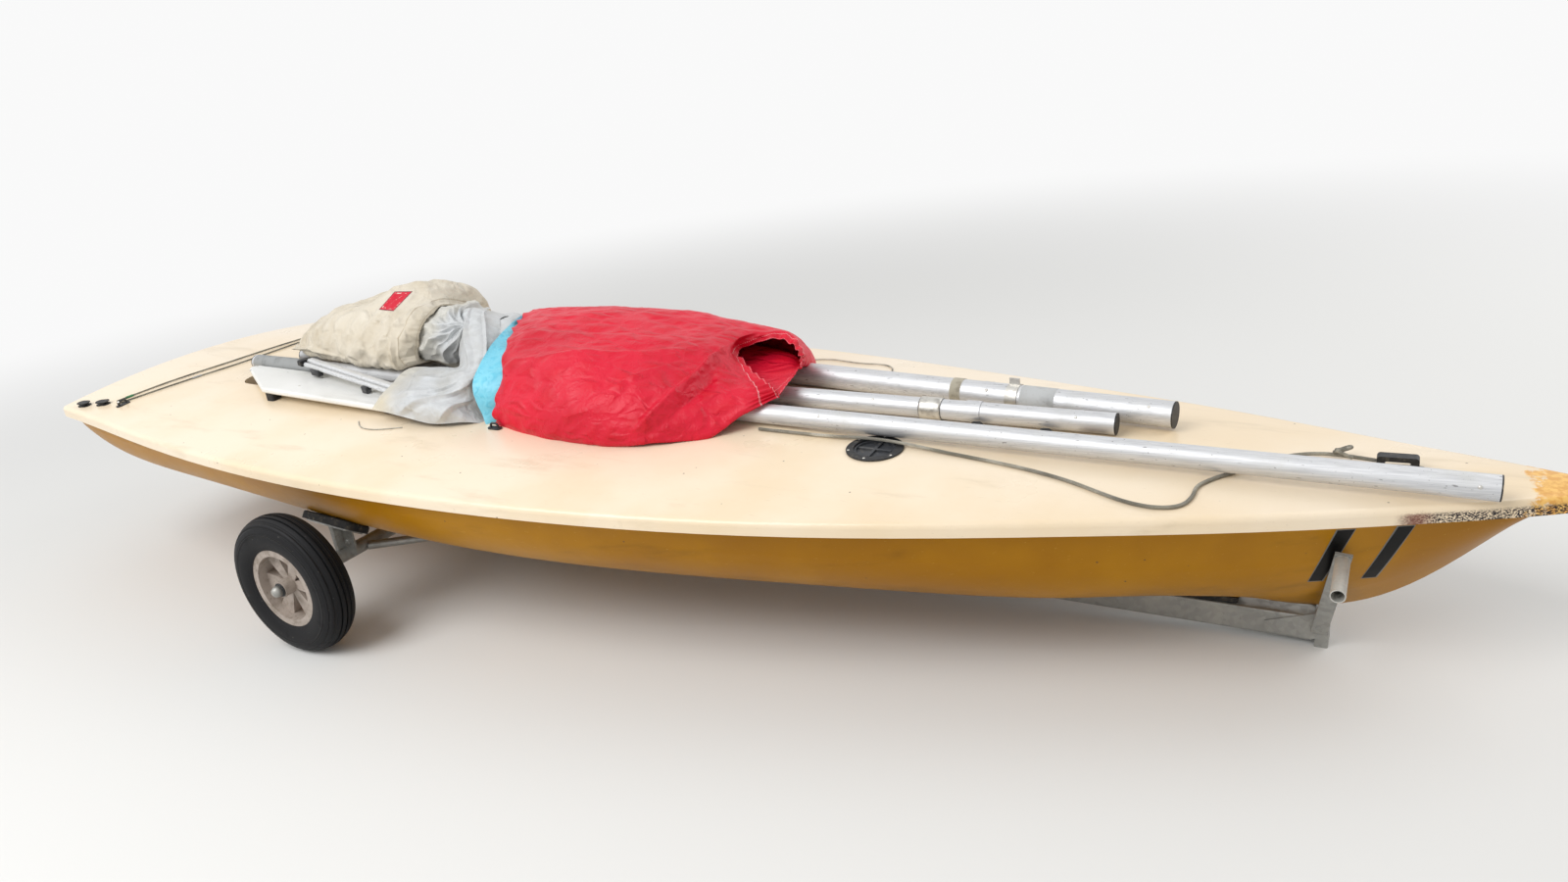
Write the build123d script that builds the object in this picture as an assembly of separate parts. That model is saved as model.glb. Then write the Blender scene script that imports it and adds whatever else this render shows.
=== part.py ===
# Sailing dinghy, single handed, lying unrigged on its launching trolley.
# Millimetres. X to the bow, Y to port, Z up. The origin is on the ground, below the
# middle of the hull's length, on the centreline.
import math
import os

from build123d import *

# Hull and deck mouldings
HULL_LENGTH = 4230.0
DECK_THICKNESS = 9.0
GUNWALE_DEPTH = 34.0
GUNWALE_RADIUS = 13.0
GUNWALE_OVERHANG = 20.0
TRANSOM_BOW = 45.0
SEAM_GAP = 1.0

# Cockpit, moulded in one piece with the deck
COCKPIT_AFT_X = -1590.0
COCKPIT_LENGTH = 1430.0
COCKPIT_AFT_WIDTH = 430.0
COCKPIT_FRONT_WIDTH = 530.0
COCKPIT_DEPTH = 200.0
COCKPIT_CORNER = 60.0
COCKPIT_DRAFT = 5.0
COCKPIT_WALL = 6.0

# Daggerboard slot and its case
SLOT_FRONT_X = 412.0
SLOT_LENGTH = 300.0
SLOT_WIDTH = 32.0
CASE_WALL = 5.0

# Mast step
MAST_STEP_X = 1190.0
MAST_STEP_BORE = 66.0
MAST_STEP_WALL = 5.0
MAST_STEP_DEPTH = 300.0

# Inspection port on the foredeck
PORT_X = 729.0
PORT_Y = -180.0
PORT_DIAMETER = 138.0
PORT_LID_DIAMETER = 102.0
PORT_RING_HEIGHT = 4.0
PORT_BORE = 112.0
PORT_LIFT = 0.9

# Small deck fittings
BOW_EYE_X = 1803.0
CLEAT_XS = (918.0, 1085.0)
STRAP_EYE_X = -347.0
STRAP_EYE_Y = -312.0
TRAVELLER_X = -HULL_LENGTH / 2 + 265.0
TRAVELLER_Y = 455.0
GUDGEON_BORE = 8.0
GUDGEON_ZS = (514.0, 424.0)
DRAIN_Y = -90.0
DRAIN_Z = 424.0

# Spars
UPPER_MAST_LENGTH = 3600.0
UPPER_MAST_DIAMETER = 50.8
UPPER_MAST_WALL = 1.6
LOWER_MAST_LENGTH = 2865.0
LOWER_MAST_DIAMETER = 63.5
LOWER_MAST_WALL = 3.2
BOOM_LENGTH = 2740.0
BOOM_DIAMETER = 50.8
BOOM_WALL = 1.6
UPPER_MAST_FRONT = (1971.0, -124.0)
UPPER_MAST_REAR_Y = -92.0
BOOM_FRONT = (1237.0, 42.0)
BOOM_REAR_Y = 4.0
LOWER_MAST_FRONT = (1352.0, 113.0)
LOWER_MAST_REAR_Y = 376.0
PLUG_REACH = 14.0
PLUG_FLANGE = 3.0
REST_GAP = 0.3
UPPER_MAST_LIFT = 17.0
BOOM_BAND = (318.0, 356.0)
MAST_BAND = (372.0, 402.0)

# Rudder blade, with its near edge raised, and the steering gear round it
BLADE_THICKNESS = 18.0
BLADE_FAR_LEFT = (-1650.0, -121.0, 603.0)
BLADE_FAR_DIRECTION = (1.0, -0.010, -0.058)
BLADE_TIP_WIDTH = 193.0
BLADE_WIDTH = 208.0
BLADE_TILT = 3.0
BLADE_LENGTH = 1000.0
BLADE_RAKE = 344.0
BLADE_TIP_RADIUS = 22.0
HEAD_LENGTH = 210.0
HEAD_WIDTH = 112.0
HEAD_CHEEK = 6.0
HEAD_CENTRE = (960.0, -120.0)
PINTLE_DIAMETER = 7.6
PINTLE_LENGTH = 46.0
PINTLE_REACH = 15.0
TILLER_WIDTH = 26.0
TILLER_HEIGHT = 20.0
TILLER_WALL = 2.0
TILLER_START = (-1296.0, -128.0)
TILLER_END = (-700.0, -266.0)
EXTENSION_DIAMETER = 14.0
EXTENSION_WALL = 1.5
EXTENSION_OFFSET = 23.0
CHOCK_PLACE = (-1290.0, -296.0)
CHOCK_SIZE = 34.0

# Sail bag, sail and foil bag
SOFT_GAP = 0.4
SOFT_BASE = 470.0
CANVAS_BASE = 618.0

# Trolley
BEAM_HEIGHT = 60.0
BEAM_WIDTH = 60.0
BEAM_WALL = 3.0
BEAM_FRONT_X = 1664.0
BEAM_REAR_X = -860.0
BEAM_FRONT_Z = 44.0
AXLE_X = -775.0
AXLE_TUBE = 40.0
AXLE_TUBE_WALL = 4.0
STUB_DIAMETER = 20.0
STUB_CLEARANCE = 0.05
BEARING_RUN = 0.3
WHEEL_Y = 741.0
AXLE_NUT = 30.0
AXLE_NUT_HEIGHT = 12.0
CRADLE_Y = 560.0
PAD_LENGTH = 190.0
PAD_WIDTH = 84.0
PAD_THICKNESS = 22.0
BRACKET_THICKNESS = 6.0
BRACE_TUBE = 25.0
BRACE_TUBE_WALL = 2.0
BRACE_FRONT_X = -330.0
BRACE_AXLE_Y = 500.0
POST_LENGTH = 28.0
POST_HEIGHT = 84.0
GUSSET_LENGTH = 100.0
PLATE = 3.0
ARM_WIDTH = 32.0
ARM_THICKNESS = 5.0
ARM_FOOT = (BEAM_FRONT_X + 10.3, 36.6, 40.0)
ARM_TOP = (BEAM_FRONT_X + 58.0, 176.0, 306.0)
GRIP_DIAMETER = 28.0
GRIP_WALL = 2.0
GRIP_LENGTH = 145.0
KEEL_PAD_X = BEAM_FRONT_X - 234.0
KEEL_PAD_LENGTH = 160.0

# Wheels, size 4.00-8
WHEEL_RADIUS = 200.0
TYRE_WIDTH = 98.0
TREAD_WIDTH = 76.0
SHOULDER_DROP = 13.0
GROOVE_WIDTH = 5.0
GROOVE_DEPTH = 4.0
GROOVE_PITCH = 15.0
BEAD_RADIUS = 103.0
BEAD_WIDTH = 60.0
RIM_FLANGE_RADIUS = 114.0
RIM_WIDTH = 74.0
RIM_FLANGE = 5.0
RIM_WALL = 8.0
HUB_DIAMETER = 46.0
HUB_WIDTH = 86.0
SPOKES = 6
SPOKE_HUB_WIDTH = 16.0
SPOKE_RIM_WIDTH = 50.0
SPOKE_DEPTH = 22.0
FIT_GAP = 0.3

# Ropes
BOW_LINE_DIAMETER = 8.0
TRAVELLER_DIAMETER = 5.0
BAG_CORD_DIAMETER = 4.0
STRING_DIAMETER = 3.0

# Stations of the hull, from the transom to the stem: place as a share of half the length,
# half breadth, sheer height, crown of the deck, keel height, bilge point y and z, fall of
# the bottom, bilge reach
SHARES = [
    (-1.0095, 513, 568, 34, 392, 440, 435, 20, 85),
    (-0.7092, 612, 530, 38, 272, 540, 340, 20, 120),
    (-0.3546, 683, 493, 40, 236, 600, 284, 16, 140),
    (0.0, 658, 462, 40, 160, 565, 230, 20, 140),
    (0.3073, 549, 437, 36, 124, 450, 204, 20, 130),
    (0.5674, 397, 425, 21, 100, 310, 187, 15, 110),
    (0.7470, 270, 417, 11, 86, 155, 190, 6, 80),
    (0.8511, 183, 413, 8, 137, 96, 245, 4, 60),
    (0.9220, 122, 412, 7, 262, 66, 318, 3, 35),
    (0.9740, 74, 412, 5, 362, 44, 378, 2, 10),
    (1.0095, 34, 412, 3, 396, 12, 399, 1, 3),
]
STATIONS = [(share * HULL_LENGTH / 2, *rest) for share, *rest in SHARES]
NODES = {}


def add(name, shape):
    """Keep a finished piece under its node name."""
    NODES[name] = shape
    return shape


def section_plane(x):
    """A plane across the boat: its x is Y, its y is Z."""
    return Plane(origin=(x, 0, 0), x_dir=(0, 1, 0), z_dir=(1, 0, 0))


def skin_faces(inset, drop, floor):
    """Cross sections under the deck's outer skin, inset at the sides and lowered by drop."""
    faces = []
    for x, b, sheer, crown, *_ in STATIONS:
        half = max(b - inset, 4)
        top, low = sheer - drop, sheer - floor
        radius = GUNWALE_RADIUS if inset == 0 else 0
        if half < 2 * GUNWALE_RADIUS:
            radius = min(radius, half * 0.45)
        if radius:
            shoulder = half - radius
            lean = radius * (1 - math.sqrt(0.5))
            lines = [
                ThreePointArc((-shoulder, top), (0, top + crown), (shoulder, top)),
                ThreePointArc((shoulder, top), (half - lean, top - lean), (half, top - radius)),
                Line((half, top - radius), (half, low)),
                Line((half, low), (-half, low)),
                Line((-half, low), (-half, top - radius)),
                ThreePointArc((-half, top - radius), (-half + lean, top - lean), (-shoulder, top)),
            ]
        else:
            lines = [
                ThreePointArc((-half, top), (0, top + crown), (half, top)),
                Line((half, top), (half, low)),
                Line((half, low), (-half, low)),
                Line((-half, low), (-half, top)),
            ]
        faces.append(section_plane(x) * make_face(Wire(lines)))
    return faces


def hull_faces():
    """Cross sections of the hull: straight topside, round bilge, softly curved bottom."""
    faces = []
    for x, b, sheer, crown, keel, bilge_y, bilge_z, fall, reach in STATIONS:
        side = max(b - GUNWALE_OVERHANG - SEAM_GAP, 5)
        top = sheer - DECK_THICKNESS - SEAM_GAP
        edge, chine = Vector(side, top), Vector(bilge_y, bilge_z)
        bottom = (Vector(0, keel - fall) - chine).normalized()
        upper = chine + (edge - chine).normalized() * reach
        lower = chine + bottom * reach
        half = [
            Line(edge, upper),
            TangentArc(upper, lower, tangent=chine - edge),
            TangentArc(lower, Vector(0, keel), tangent=bottom),
        ]
        other = [e.mirror(Plane.YZ) for e in half]
        lid = ThreePointArc((-side, top), (0, top + crown), (side, top))
        faces.append(section_plane(x) * make_face(Wire(half + other + [lid])))
    return faces


def plan_block(inset):
    """The boat's outline from above at its ends: a bowed transom and a round nose."""
    stern = -HULL_LENGTH / 2 + inset
    bow = HULL_LENGTH / 2 - inset
    wide = 900
    corner = stern + TRANSOM_BOW
    outline = Polyline((corner, wide), (bow, wide), (bow, -wide), (corner, -wide))
    transom = ThreePointArc((corner, -wide), (stern, 0), (corner, wide))
    return extrude(make_face(Wire(outline.edges() + [transom.edge()])), 1200)


def cockpit_outline(grow):
    """Outline of the cockpit from above."""
    front = COCKPIT_AFT_X + COCKPIT_LENGTH
    pts = [
        (COCKPIT_AFT_X, -COCKPIT_AFT_WIDTH / 2), (front, -COCKPIT_FRONT_WIDTH / 2),
        (front, COCKPIT_FRONT_WIDTH / 2), (COCKPIT_AFT_X, COCKPIT_AFT_WIDTH / 2)]
    face = make_face(Polyline(*pts, close=True))
    face = fillet(face.vertices(), COCKPIT_CORNER)
    return offset(face, grow) if grow else face


DECK_SKIN = loft(skin_faces(0, 0, GUNWALE_DEPTH)) & plan_block(0)
SKIN_FACES = [f for f in DECK_SKIN.faces() if f.bounding_box().max.Z > 420]


def deck_height(x, y):
    """Height of the deck's skin, before anything is cut in it."""
    ray = Axis((x, y, 2000), (0, 0, -1))
    hits = [h[0].Z for f in SKIN_FACES for h in f.find_intersection_points(ray)]
    return max(hits, default=0.0)


def deck_normal(x, y):
    """The way up from the deck's skin."""
    step = 6.0
    slope_x = (deck_height(x + step, y) - deck_height(x - step, y)) / (2 * step)
    slope_y = (deck_height(x, y + step) - deck_height(x, y - step)) / (2 * step)
    return Vector(-slope_x, -slope_y, 1).normalized()


def block(x0, x1, y0, y1, z0, z1):
    """A plain block between six values."""
    return Pos((x0 + x1) / 2, (y0 + y1) / 2, (z0 + z1) / 2) * Box(x1 - x0, y1 - y0, z1 - z0)


def rod(start, end, radius):
    """A round bar between two points."""
    a, b = Vector(*start), Vector(*end)
    return extrude(Plane(origin=a, z_dir=b - a) * Circle(radius), (b - a).length)


def tube(start, end, outer, wall):
    """A round tube between two points."""
    return rod(start, end, outer / 2) - rod(start, end, outer / 2 - wall)


# The deck: skin less the space under it, with the cockpit well let in
UNDER_DECK = loft(skin_faces(GUNWALE_OVERHANG, DECK_THICKNESS, GUNWALE_DEPTH + 40))
UNDER_DECK = UNDER_DECK & plan_block(GUNWALE_OVERHANG)
DECK_BODY = loft(skin_faces(0, 0, GUNWALE_DEPTH + 330)) & plan_block(0)
HULL_BODY = loft(hull_faces()) & plan_block(GUNWALE_OVERHANG + SEAM_GAP)
WELL_TOP = 606.0
WELL_FLOOR = deck_height(COCKPIT_AFT_X + COCKPIT_LENGTH / 2, 0) - COCKPIT_DEPTH
HIGH = 700.0


def well(grow, floor):
    """The cockpit's space, drawn in towards its floor."""
    lid = Plane.XY.offset(WELL_TOP) * cockpit_outline(grow)
    return extrude(lid, -(WELL_TOP - floor), taper=COCKPIT_DRAFT)


def slot_block(grow, low, high):
    """The daggerboard slot, rounded at both ends."""
    face = SlotOverall(SLOT_LENGTH + 2 * grow, SLOT_WIDTH + 2 * grow)
    return Pos(SLOT_FRONT_X - SLOT_LENGTH / 2, 0, low) * extrude(face, high - low)


def step_block(diameter, low, high):
    """An upright cylinder on the mast step's axis."""
    return Pos(MAST_STEP_X, 0, low) * extrude(Circle(diameter / 2), high - low)


STEP_OUTSIDE = MAST_STEP_BORE + 2 * MAST_STEP_WALL
STEP_FLOOR = deck_height(MAST_STEP_X, 0) - MAST_STEP_DEPTH
PORT_Z = deck_height(PORT_X, PORT_Y)
PORT_PLACE = Plane(origin=(PORT_X, PORT_Y, PORT_Z + PORT_LIFT), z_dir=deck_normal(PORT_X, PORT_Y))

deck = DECK_SKIN - UNDER_DECK
deck = deck + (well(COCKPIT_WALL, WELL_FLOOR - COCKPIT_WALL) & DECK_BODY)
deck = deck - well(0, WELL_FLOOR)
deck = deck - slot_block(0, 0, HIGH)
deck = deck - step_block(STEP_OUTSIDE + 2 * SEAM_GAP, 0, HIGH)
deck = deck - PORT_PLACE * Pos(0, 0, -60) * extrude(Circle(PORT_BORE / 2), 120)
add("deck", deck)

# The hull shell, closed and solid below the deck, with room for the well, case and step
hull = HULL_BODY - well(COCKPIT_WALL + SEAM_GAP, WELL_FLOOR - COCKPIT_WALL - SEAM_GAP)
hull = hull - slot_block(CASE_WALL + SEAM_GAP, 0, HIGH)
hull = hull - step_block(STEP_OUTSIDE + 2 * SEAM_GAP, STEP_FLOOR - MAST_STEP_WALL - SEAM_GAP, HIGH)
hull = hull - PORT_PLACE * Pos(0, 0, -60) * extrude(Circle(PORT_BORE / 2 + 4), 120)
add("hull", hull)

# Linings of the slot and of the mast's socket
case = (slot_block(CASE_WALL, 0, HIGH) - slot_block(0, 0, HIGH)) & HULL_BODY
add("daggerboard_case", case)
cup = step_block(STEP_OUTSIDE, STEP_FLOOR - MAST_STEP_WALL, HIGH)
add("mast_step", (cup - step_block(MAST_STEP_BORE, STEP_FLOOR, HIGH)) & DECK_BODY)

# Inspection port: a flanged ring let into the deck and a screwed lid with a grip
ring = extrude(Circle(PORT_DIAMETER / 2), PORT_RING_HEIGHT)
ring = fillet(ring.edges().sort_by(Axis.Z)[-1], PORT_RING_HEIGHT * 0.45)
ring = ring + Pos(0, 0, -24) * extrude(Circle(PORT_BORE / 2 - SEAM_GAP), 24)
ring = ring - Pos(0, 0, -30) * extrude(Circle(PORT_LID_DIAMETER / 2), 60)
lid = Pos(0, 0, -16) * extrude(Circle(PORT_LID_DIAMETER / 2 - SEAM_GAP), 16)
grip = Box(PORT_LID_DIAMETER * 0.82, 7, 9) + Pos(0, 0, 0) * Box(7, PORT_LID_DIAMETER * 0.82, 9)
lid = lid - Pos(0, 0, -5) * extrude(Circle(PORT_LID_DIAMETER / 2 - 6), 20) + Pos(0, 0, -4.5) * grip
add("inspection_port_ring", PORT_PLACE * ring)
add("inspection_port_lid", PORT_PLACE * lid)


def on_deck(x, y, turn=0.0, lift=REST_GAP):
    """A plane lying on the deck's skin, turned about its normal."""
    place = Plane(origin=(x, y, deck_height(x, y)), x_dir=(1, 0, 0), z_dir=deck_normal(x, y))
    return place * Pos(0, 0, lift) * Rot(0, 0, turn)


def bail(span, height, radius, foot=0.0):
    """A bar bent to an arch, standing on the plane's x axis."""
    half, bend = span / 2, height * 0.55
    path = FilletPolyline((-half, 0, foot), (-half, 0, height), (half, 0, height), (half, 0, foot),
                          radius=bend)
    return sweep(Plane(origin=path @ 0, z_dir=path % 0) * Circle(radius), path)


# Small deck fittings
bow_base = fillet(extrude(SlotOverall(104, 30), 4).edges().group_by(Axis.Z)[-1], 1.5)
bow_bridge = fillet(block(-38, 38, -13, 13, 2, 29).edges().filter_by(Axis.Y), 7)
bow_bridge = bow_bridge - fillet(block(-24, 24, -20, 20, 4, 19).edges().filter_by(Axis.Y), 5)
add("bow_fairlead", on_deck(BOW_EYE_X, 0) * (bow_base + bow_bridge))
hook = fillet(extrude(SlotOverall(46, 20), 3).edges().group_by(Axis.Z)[-1], 1)
eye = hook + bail(26, 15, 3.2, 1)
add("deck_cleat_eyes", Compound([on_deck(x, 0) * (hook + bail(26, 15, 3.2, 1)) for x in CLEAT_XS]))
add("strap_eye", on_deck(STRAP_EYE_X, STRAP_EYE_Y) * eye)
add("traveller_fairleads", Compound([
    on_deck(TRAVELLER_X, side * TRAVELLER_Y, 90) * eye for side in (-1, 1)]))

# Traveller blocks, lashed together and lying at the starboard quarter
sheave = extrude(Circle(15), 7)
cheek = extrude(SlotOverall(46, 28), 2.6)
block_body = cheek + Pos(0, 0, 2.6) * extrude(Circle(11), 7) + Pos(0, 0, 9.6) * cheek
block_body = block_body + Pos(16, 0, 2.6) * extrude(Circle(4), 7)
add("traveller_blocks", Compound([
    on_deck(TRAVELLER_X + x, y, turn) * block_body
    for x, y, turn in ((-160, -492, 12), (-88, -470, 22))]))

# Rudder gudgeons on the transom: two ears on one strap, upper and lower
transom_x = -HULL_LENGTH / 2 + GUNWALE_OVERHANG + SEAM_GAP
gudgeon_x = -HULL_LENGTH / 2 - 6


def gudgeon(z):
    """One gudgeon, its plate on the transom and its bored lug reaching aft."""
    plate = Pos(transom_x - 1.8, 0, z) * Box(3, 64, 24)
    lug = Pos(gudgeon_x, 0, z - 6) * extrude(make_face(Polyline(
        (transom_x - 2 - gudgeon_x, -12), (transom_x - 2 - gudgeon_x, 12), (-9, 9), (-9, -9),
        close=True)), 12)
    body = fillet((plate + lug).edges().filter_by(Axis.Z).sort_by(Axis.X)[:2], 6)
    return body - Pos(gudgeon_x, 0, z - 20) * extrude(Circle(GUDGEON_BORE / 2), 40)


add("rudder_gudgeons", Compound([gudgeon(z) for z in GUDGEON_ZS]))
add("drain_plug", Pos(transom_x - 5.5, DRAIN_Y, DRAIN_Z) * Rot(0, 90, 0) * Cylinder(13, 10))


# Spars, lying along the deck
class Spar:
    """A straight spar: its ends on the deck, raised until it clears the deck between."""

    def __init__(self, front, rear_y, length, diameter, lift=0.0):
        self.radius, self.length = diameter / 2, length
        rear = (front[0] - length, rear_y)
        low = [self.seat(*front) + lift, self.seat(*rear)]
        rise = 0.0
        for i in range(21):
            t = i / 20
            x = front[0] + (rear[0] - front[0]) * t
            y = front[1] + (rear[1] - front[1]) * t
            rise = max(rise, self.seat(x, y) - low[0] - (low[1] - low[0]) * t)
        rise += REST_GAP
        self.front = Vector(*front, low[0] + rise)
        self.rear = Vector(*rear, low[1] + rise)
        self.axis = (self.rear - self.front).normalized()

    def seat(self, x, y):
        """The height of the axis at which the spar touches the deck at a place."""
        best = 0.0
        for side in (-0.7, -0.35, 0.0, 0.35, 0.7):
            reach = side * self.radius
            best = max(best, deck_height(x, y + reach) + math.sqrt(self.radius ** 2 - reach ** 2))
        return best

    def at(self, distance):
        """A plane across the spar at a distance from its front end, x pointing up."""
        origin = self.front + self.axis * distance
        return Plane(origin=origin, x_dir=(0, 0, 1), z_dir=self.axis)

    def bar(self, start, end, radius):
        """A bar on the spar's axis between two distances from its front end."""
        return extrude(self.at(start) * Circle(radius), end - start)


UPPER = Spar(UPPER_MAST_FRONT, UPPER_MAST_REAR_Y, UPPER_MAST_LENGTH,
             UPPER_MAST_DIAMETER, UPPER_MAST_LIFT)
BOOM = Spar(BOOM_FRONT, BOOM_REAR_Y, BOOM_LENGTH, BOOM_DIAMETER)
LOWER = Spar(LOWER_MAST_FRONT, LOWER_MAST_REAR_Y, LOWER_MAST_LENGTH, LOWER_MAST_DIAMETER)


def spar_tube(spar, wall):
    """The spar's tube, open at both ends."""
    return spar.bar(0, spar.length, spar.radius) - spar.bar(-1, spar.length + 1, spar.radius - wall)


def spar_plug(spar, wall, rear):
    """A moulded plug pushed into one end, with a thin flange."""
    inner = spar.radius - wall - SEAM_GAP
    if rear:
        end = spar.length
        return spar.bar(end - PLUG_REACH, end, inner) + spar.bar(end, end + PLUG_FLANGE, spar.radius)
    return spar.bar(0, PLUG_REACH, inner) + spar.bar(-PLUG_FLANGE, 0, spar.radius)


for name, spar, wall in (
        ("upper_mast", UPPER, UPPER_MAST_WALL), ("boom", BOOM, BOOM_WALL),
        ("lower_mast", LOWER, LOWER_MAST_WALL)):
    add(name, spar_tube(spar, wall))
    add(name + "_plugs", Compound([spar_plug(spar, wall, False), spar_plug(spar, wall, True)]))


def saddle(spar, start, end, thickness):
    """A band round the spar."""
    outer = spar.radius + REST_GAP + thickness
    return spar.bar(start, end, outer) - spar.bar(start - 1, end + 1, spar.radius + REST_GAP)


def top_half(spar, shape, low=-0.3):
    """What of a shape stands above the spar's axis plane."""
    box = spar.at(0) * Pos(100 + low * spar.radius, 0, spar.length / 2) * Box(200, 200, 4000)
    return shape & box


# Boom eye strap with the sheet block lying under it, and the kicker tang on the mast
boom_band = top_half(BOOM, saddle(BOOM, *BOOM_BAND, 2.0))
add("boom_eye_strap", boom_band)
mast_band = top_half(LOWER, saddle(LOWER, *MAST_BAND, 2.2))
tang = LOWER.at(sum(MAST_BAND) / 2) * Pos(LOWER.radius + 9, 0, 0) * Box(18, 5, 26)
add("mast_tang", mast_band + tang)


# Rudder blade: a foil plate beside the upper mast, its raked tip aft and held off the deck
edge_way = Vector(*BLADE_FAR_DIRECTION).normalized()
side_way = edge_way.cross(Vector(0, 0, 1)).normalized()
side_way = side_way * math.cos(math.radians(BLADE_TILT)) + Vector(0, 0, 1) * math.sin(
    math.radians(BLADE_TILT))
BLADE = Plane(origin=BLADE_FAR_LEFT, x_dir=edge_way, z_dir=side_way.cross(edge_way))
blade_face = make_face(Polyline(
    (0, 0), (BLADE_RAKE, -BLADE_TIP_WIDTH), (BLADE_LENGTH, -BLADE_WIDTH), (BLADE_LENGTH, 0),
    close=True))
corners = blade_face.vertices().sort_by(Axis.X)
blade_face = fillet(corners[:2], BLADE_TIP_RADIUS)
blade = extrude(blade_face, -BLADE_THICKNESS)
blade = chamfer(blade.edges().group_by(Axis.Z)[-1], BLADE_THICKNESS * 0.3)
blade = chamfer(blade.edges().group_by(Axis.Z)[0], BLADE_THICKNESS * 0.3)
add("rudder_blade", BLADE * blade)

# Rudder head at the blade's end: two cheeks over a spacer, and the pintles on its front
def in_head(length, width, low, high, dx=0.0, dy=0.0):
    """A rounded plate in the blade's frame between two heights, placed from the head's centre."""
    plate = extrude(RectangleRounded(length, width, min(length, width) * 0.18), high - low)
    return BLADE * Pos(HEAD_CENTRE[0] + dx, HEAD_CENTRE[1] + dy, low) * plate


top_face, low_face = REST_GAP, -BLADE_THICKNESS - REST_GAP
rudder_head = in_head(HEAD_LENGTH, HEAD_WIDTH, top_face, top_face + HEAD_CHEEK)
rudder_head += in_head(HEAD_LENGTH, HEAD_WIDTH, low_face - HEAD_CHEEK, low_face)
rudder_head += in_head(60, HEAD_WIDTH, low_face, top_face, dx=HEAD_LENGTH / 2 - 30)
add("rudder_head", rudder_head)


def pintle(v):
    """A strap on the head's front with its pin."""
    u = HEAD_CENTRE[0] + HEAD_LENGTH / 2 + REST_GAP
    mid = -BLADE_THICKNESS / 2
    strap = Pos(u + 1, v, mid) * Box(2, 20, BLADE_THICKNESS + 2 * HEAD_CHEEK)
    lug = Pos(u + PINTLE_REACH / 2, v, mid) * Box(PINTLE_REACH, 14, 6)
    pin = Pos(u + PINTLE_REACH, v + 7, mid) * Rot(90, 0, 0) * extrude(
        Circle(PINTLE_DIAMETER / 2), PINTLE_LENGTH)
    return BLADE * (strap + lug + pin)


pintle_spread = (GUDGEON_ZS[0] - GUDGEON_ZS[1]) / 2
add("rudder_pintles", Compound([pintle(HEAD_CENTRE[1] + v) for v in (
    pintle_spread, -pintle_spread)]))

# Tiller, from the upper mast's top to the rudder head, with its extension beside it
start_t = (UPPER.front.X - TILLER_START[0]) / UPPER.length
mast_top = (UPPER.front + (UPPER.rear - UPPER.front) * start_t).Z + UPPER.radius
head_top = (BLADE * Pos(*HEAD_CENTRE, 0)).position.Z
TILLER_A = Vector(*TILLER_START, mast_top + REST_GAP + TILLER_HEIGHT / 2)
TILLER_B = Vector(*TILLER_END, head_top + 2 * HEAD_CHEEK + 5 + TILLER_HEIGHT / 2)
tiller_way = (TILLER_B - TILLER_A).normalized()
TILLER = Plane(origin=TILLER_A, x_dir=tiller_way.cross(Vector(0, 0, 1)), z_dir=tiller_way)
tiller_length = (TILLER_B - TILLER_A).length
oval = RectangleRounded(TILLER_WIDTH, TILLER_HEIGHT, TILLER_HEIGHT * 0.4)
bore = RectangleRounded(TILLER_WIDTH - 2 * TILLER_WALL, TILLER_HEIGHT - 2 * TILLER_WALL,
                        TILLER_HEIGHT * 0.4 - TILLER_WALL)
add("tiller", TILLER * extrude(oval - bore, tiller_length))
low = (TILLER_HEIGHT - EXTENSION_DIAMETER) / 2
ring_face = Circle(EXTENSION_DIAMETER / 2) - Circle(EXTENSION_DIAMETER / 2 - EXTENSION_WALL)
extension_at = TILLER * Pos(EXTENSION_OFFSET, low, 8)
add("tiller_extension", extension_at * extrude(ring_face, tiller_length - 4))
joint = Pos(EXTENSION_OFFSET / 2, 0, -11) * Box(TILLER_WIDTH + EXTENSION_OFFSET, TILLER_HEIGHT, 20)
joint = joint + Pos(EXTENSION_OFFSET, low, -2) * extrude(Circle(EXTENSION_DIAMETER / 2), 9.7)
joint = fillet(joint.edges().filter_by(Axis.Z), 6)
add("tiller_joint", TILLER * joint)

# Rubber chock that holds the blade's near corner up off the deck
chock = Pos(*CHOCK_PLACE, 0) * extrude(RectangleRounded(CHOCK_SIZE, CHOCK_SIZE, 6), 640)
over_blade = BLADE * Pos(BLADE_LENGTH / 2, 0, -BLADE_THICKNESS - REST_GAP + 300) * Box(
    2 * BLADE_LENGTH, 3 * BLADE_WIDTH, 600)
chock = chock - over_blade - DECK_BODY.moved(Pos(0, 0, REST_GAP))
chock = max(chock.solids(), key=lambda solid: solid.bounding_box().max.Z)
add("blade_chock", chock)


# Soft goods as closed solids, cut clear of the deck and of what they lie on
def soft(rows, base, tops_round, ruled=False):
    """A lofted bag. Rows: x, turn, near and far foot, then the points over them, far to near."""
    faces = []
    for x, turn, near, far, *over in rows:
        c, n = math.cos(math.radians(turn)), math.sin(math.radians(turn))
        place = Plane(origin=(x, 0, 0), x_dir=(-n, c, 0), z_dir=(c, n, 0))
        face = make_face(Polyline((near, base), (far, base), *over, close=True))
        faces.append(place * fillet(face.vertices().sort_by(Axis.Y)[2:], tops_round))
    return loft(faces, ruled=ruled)


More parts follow.
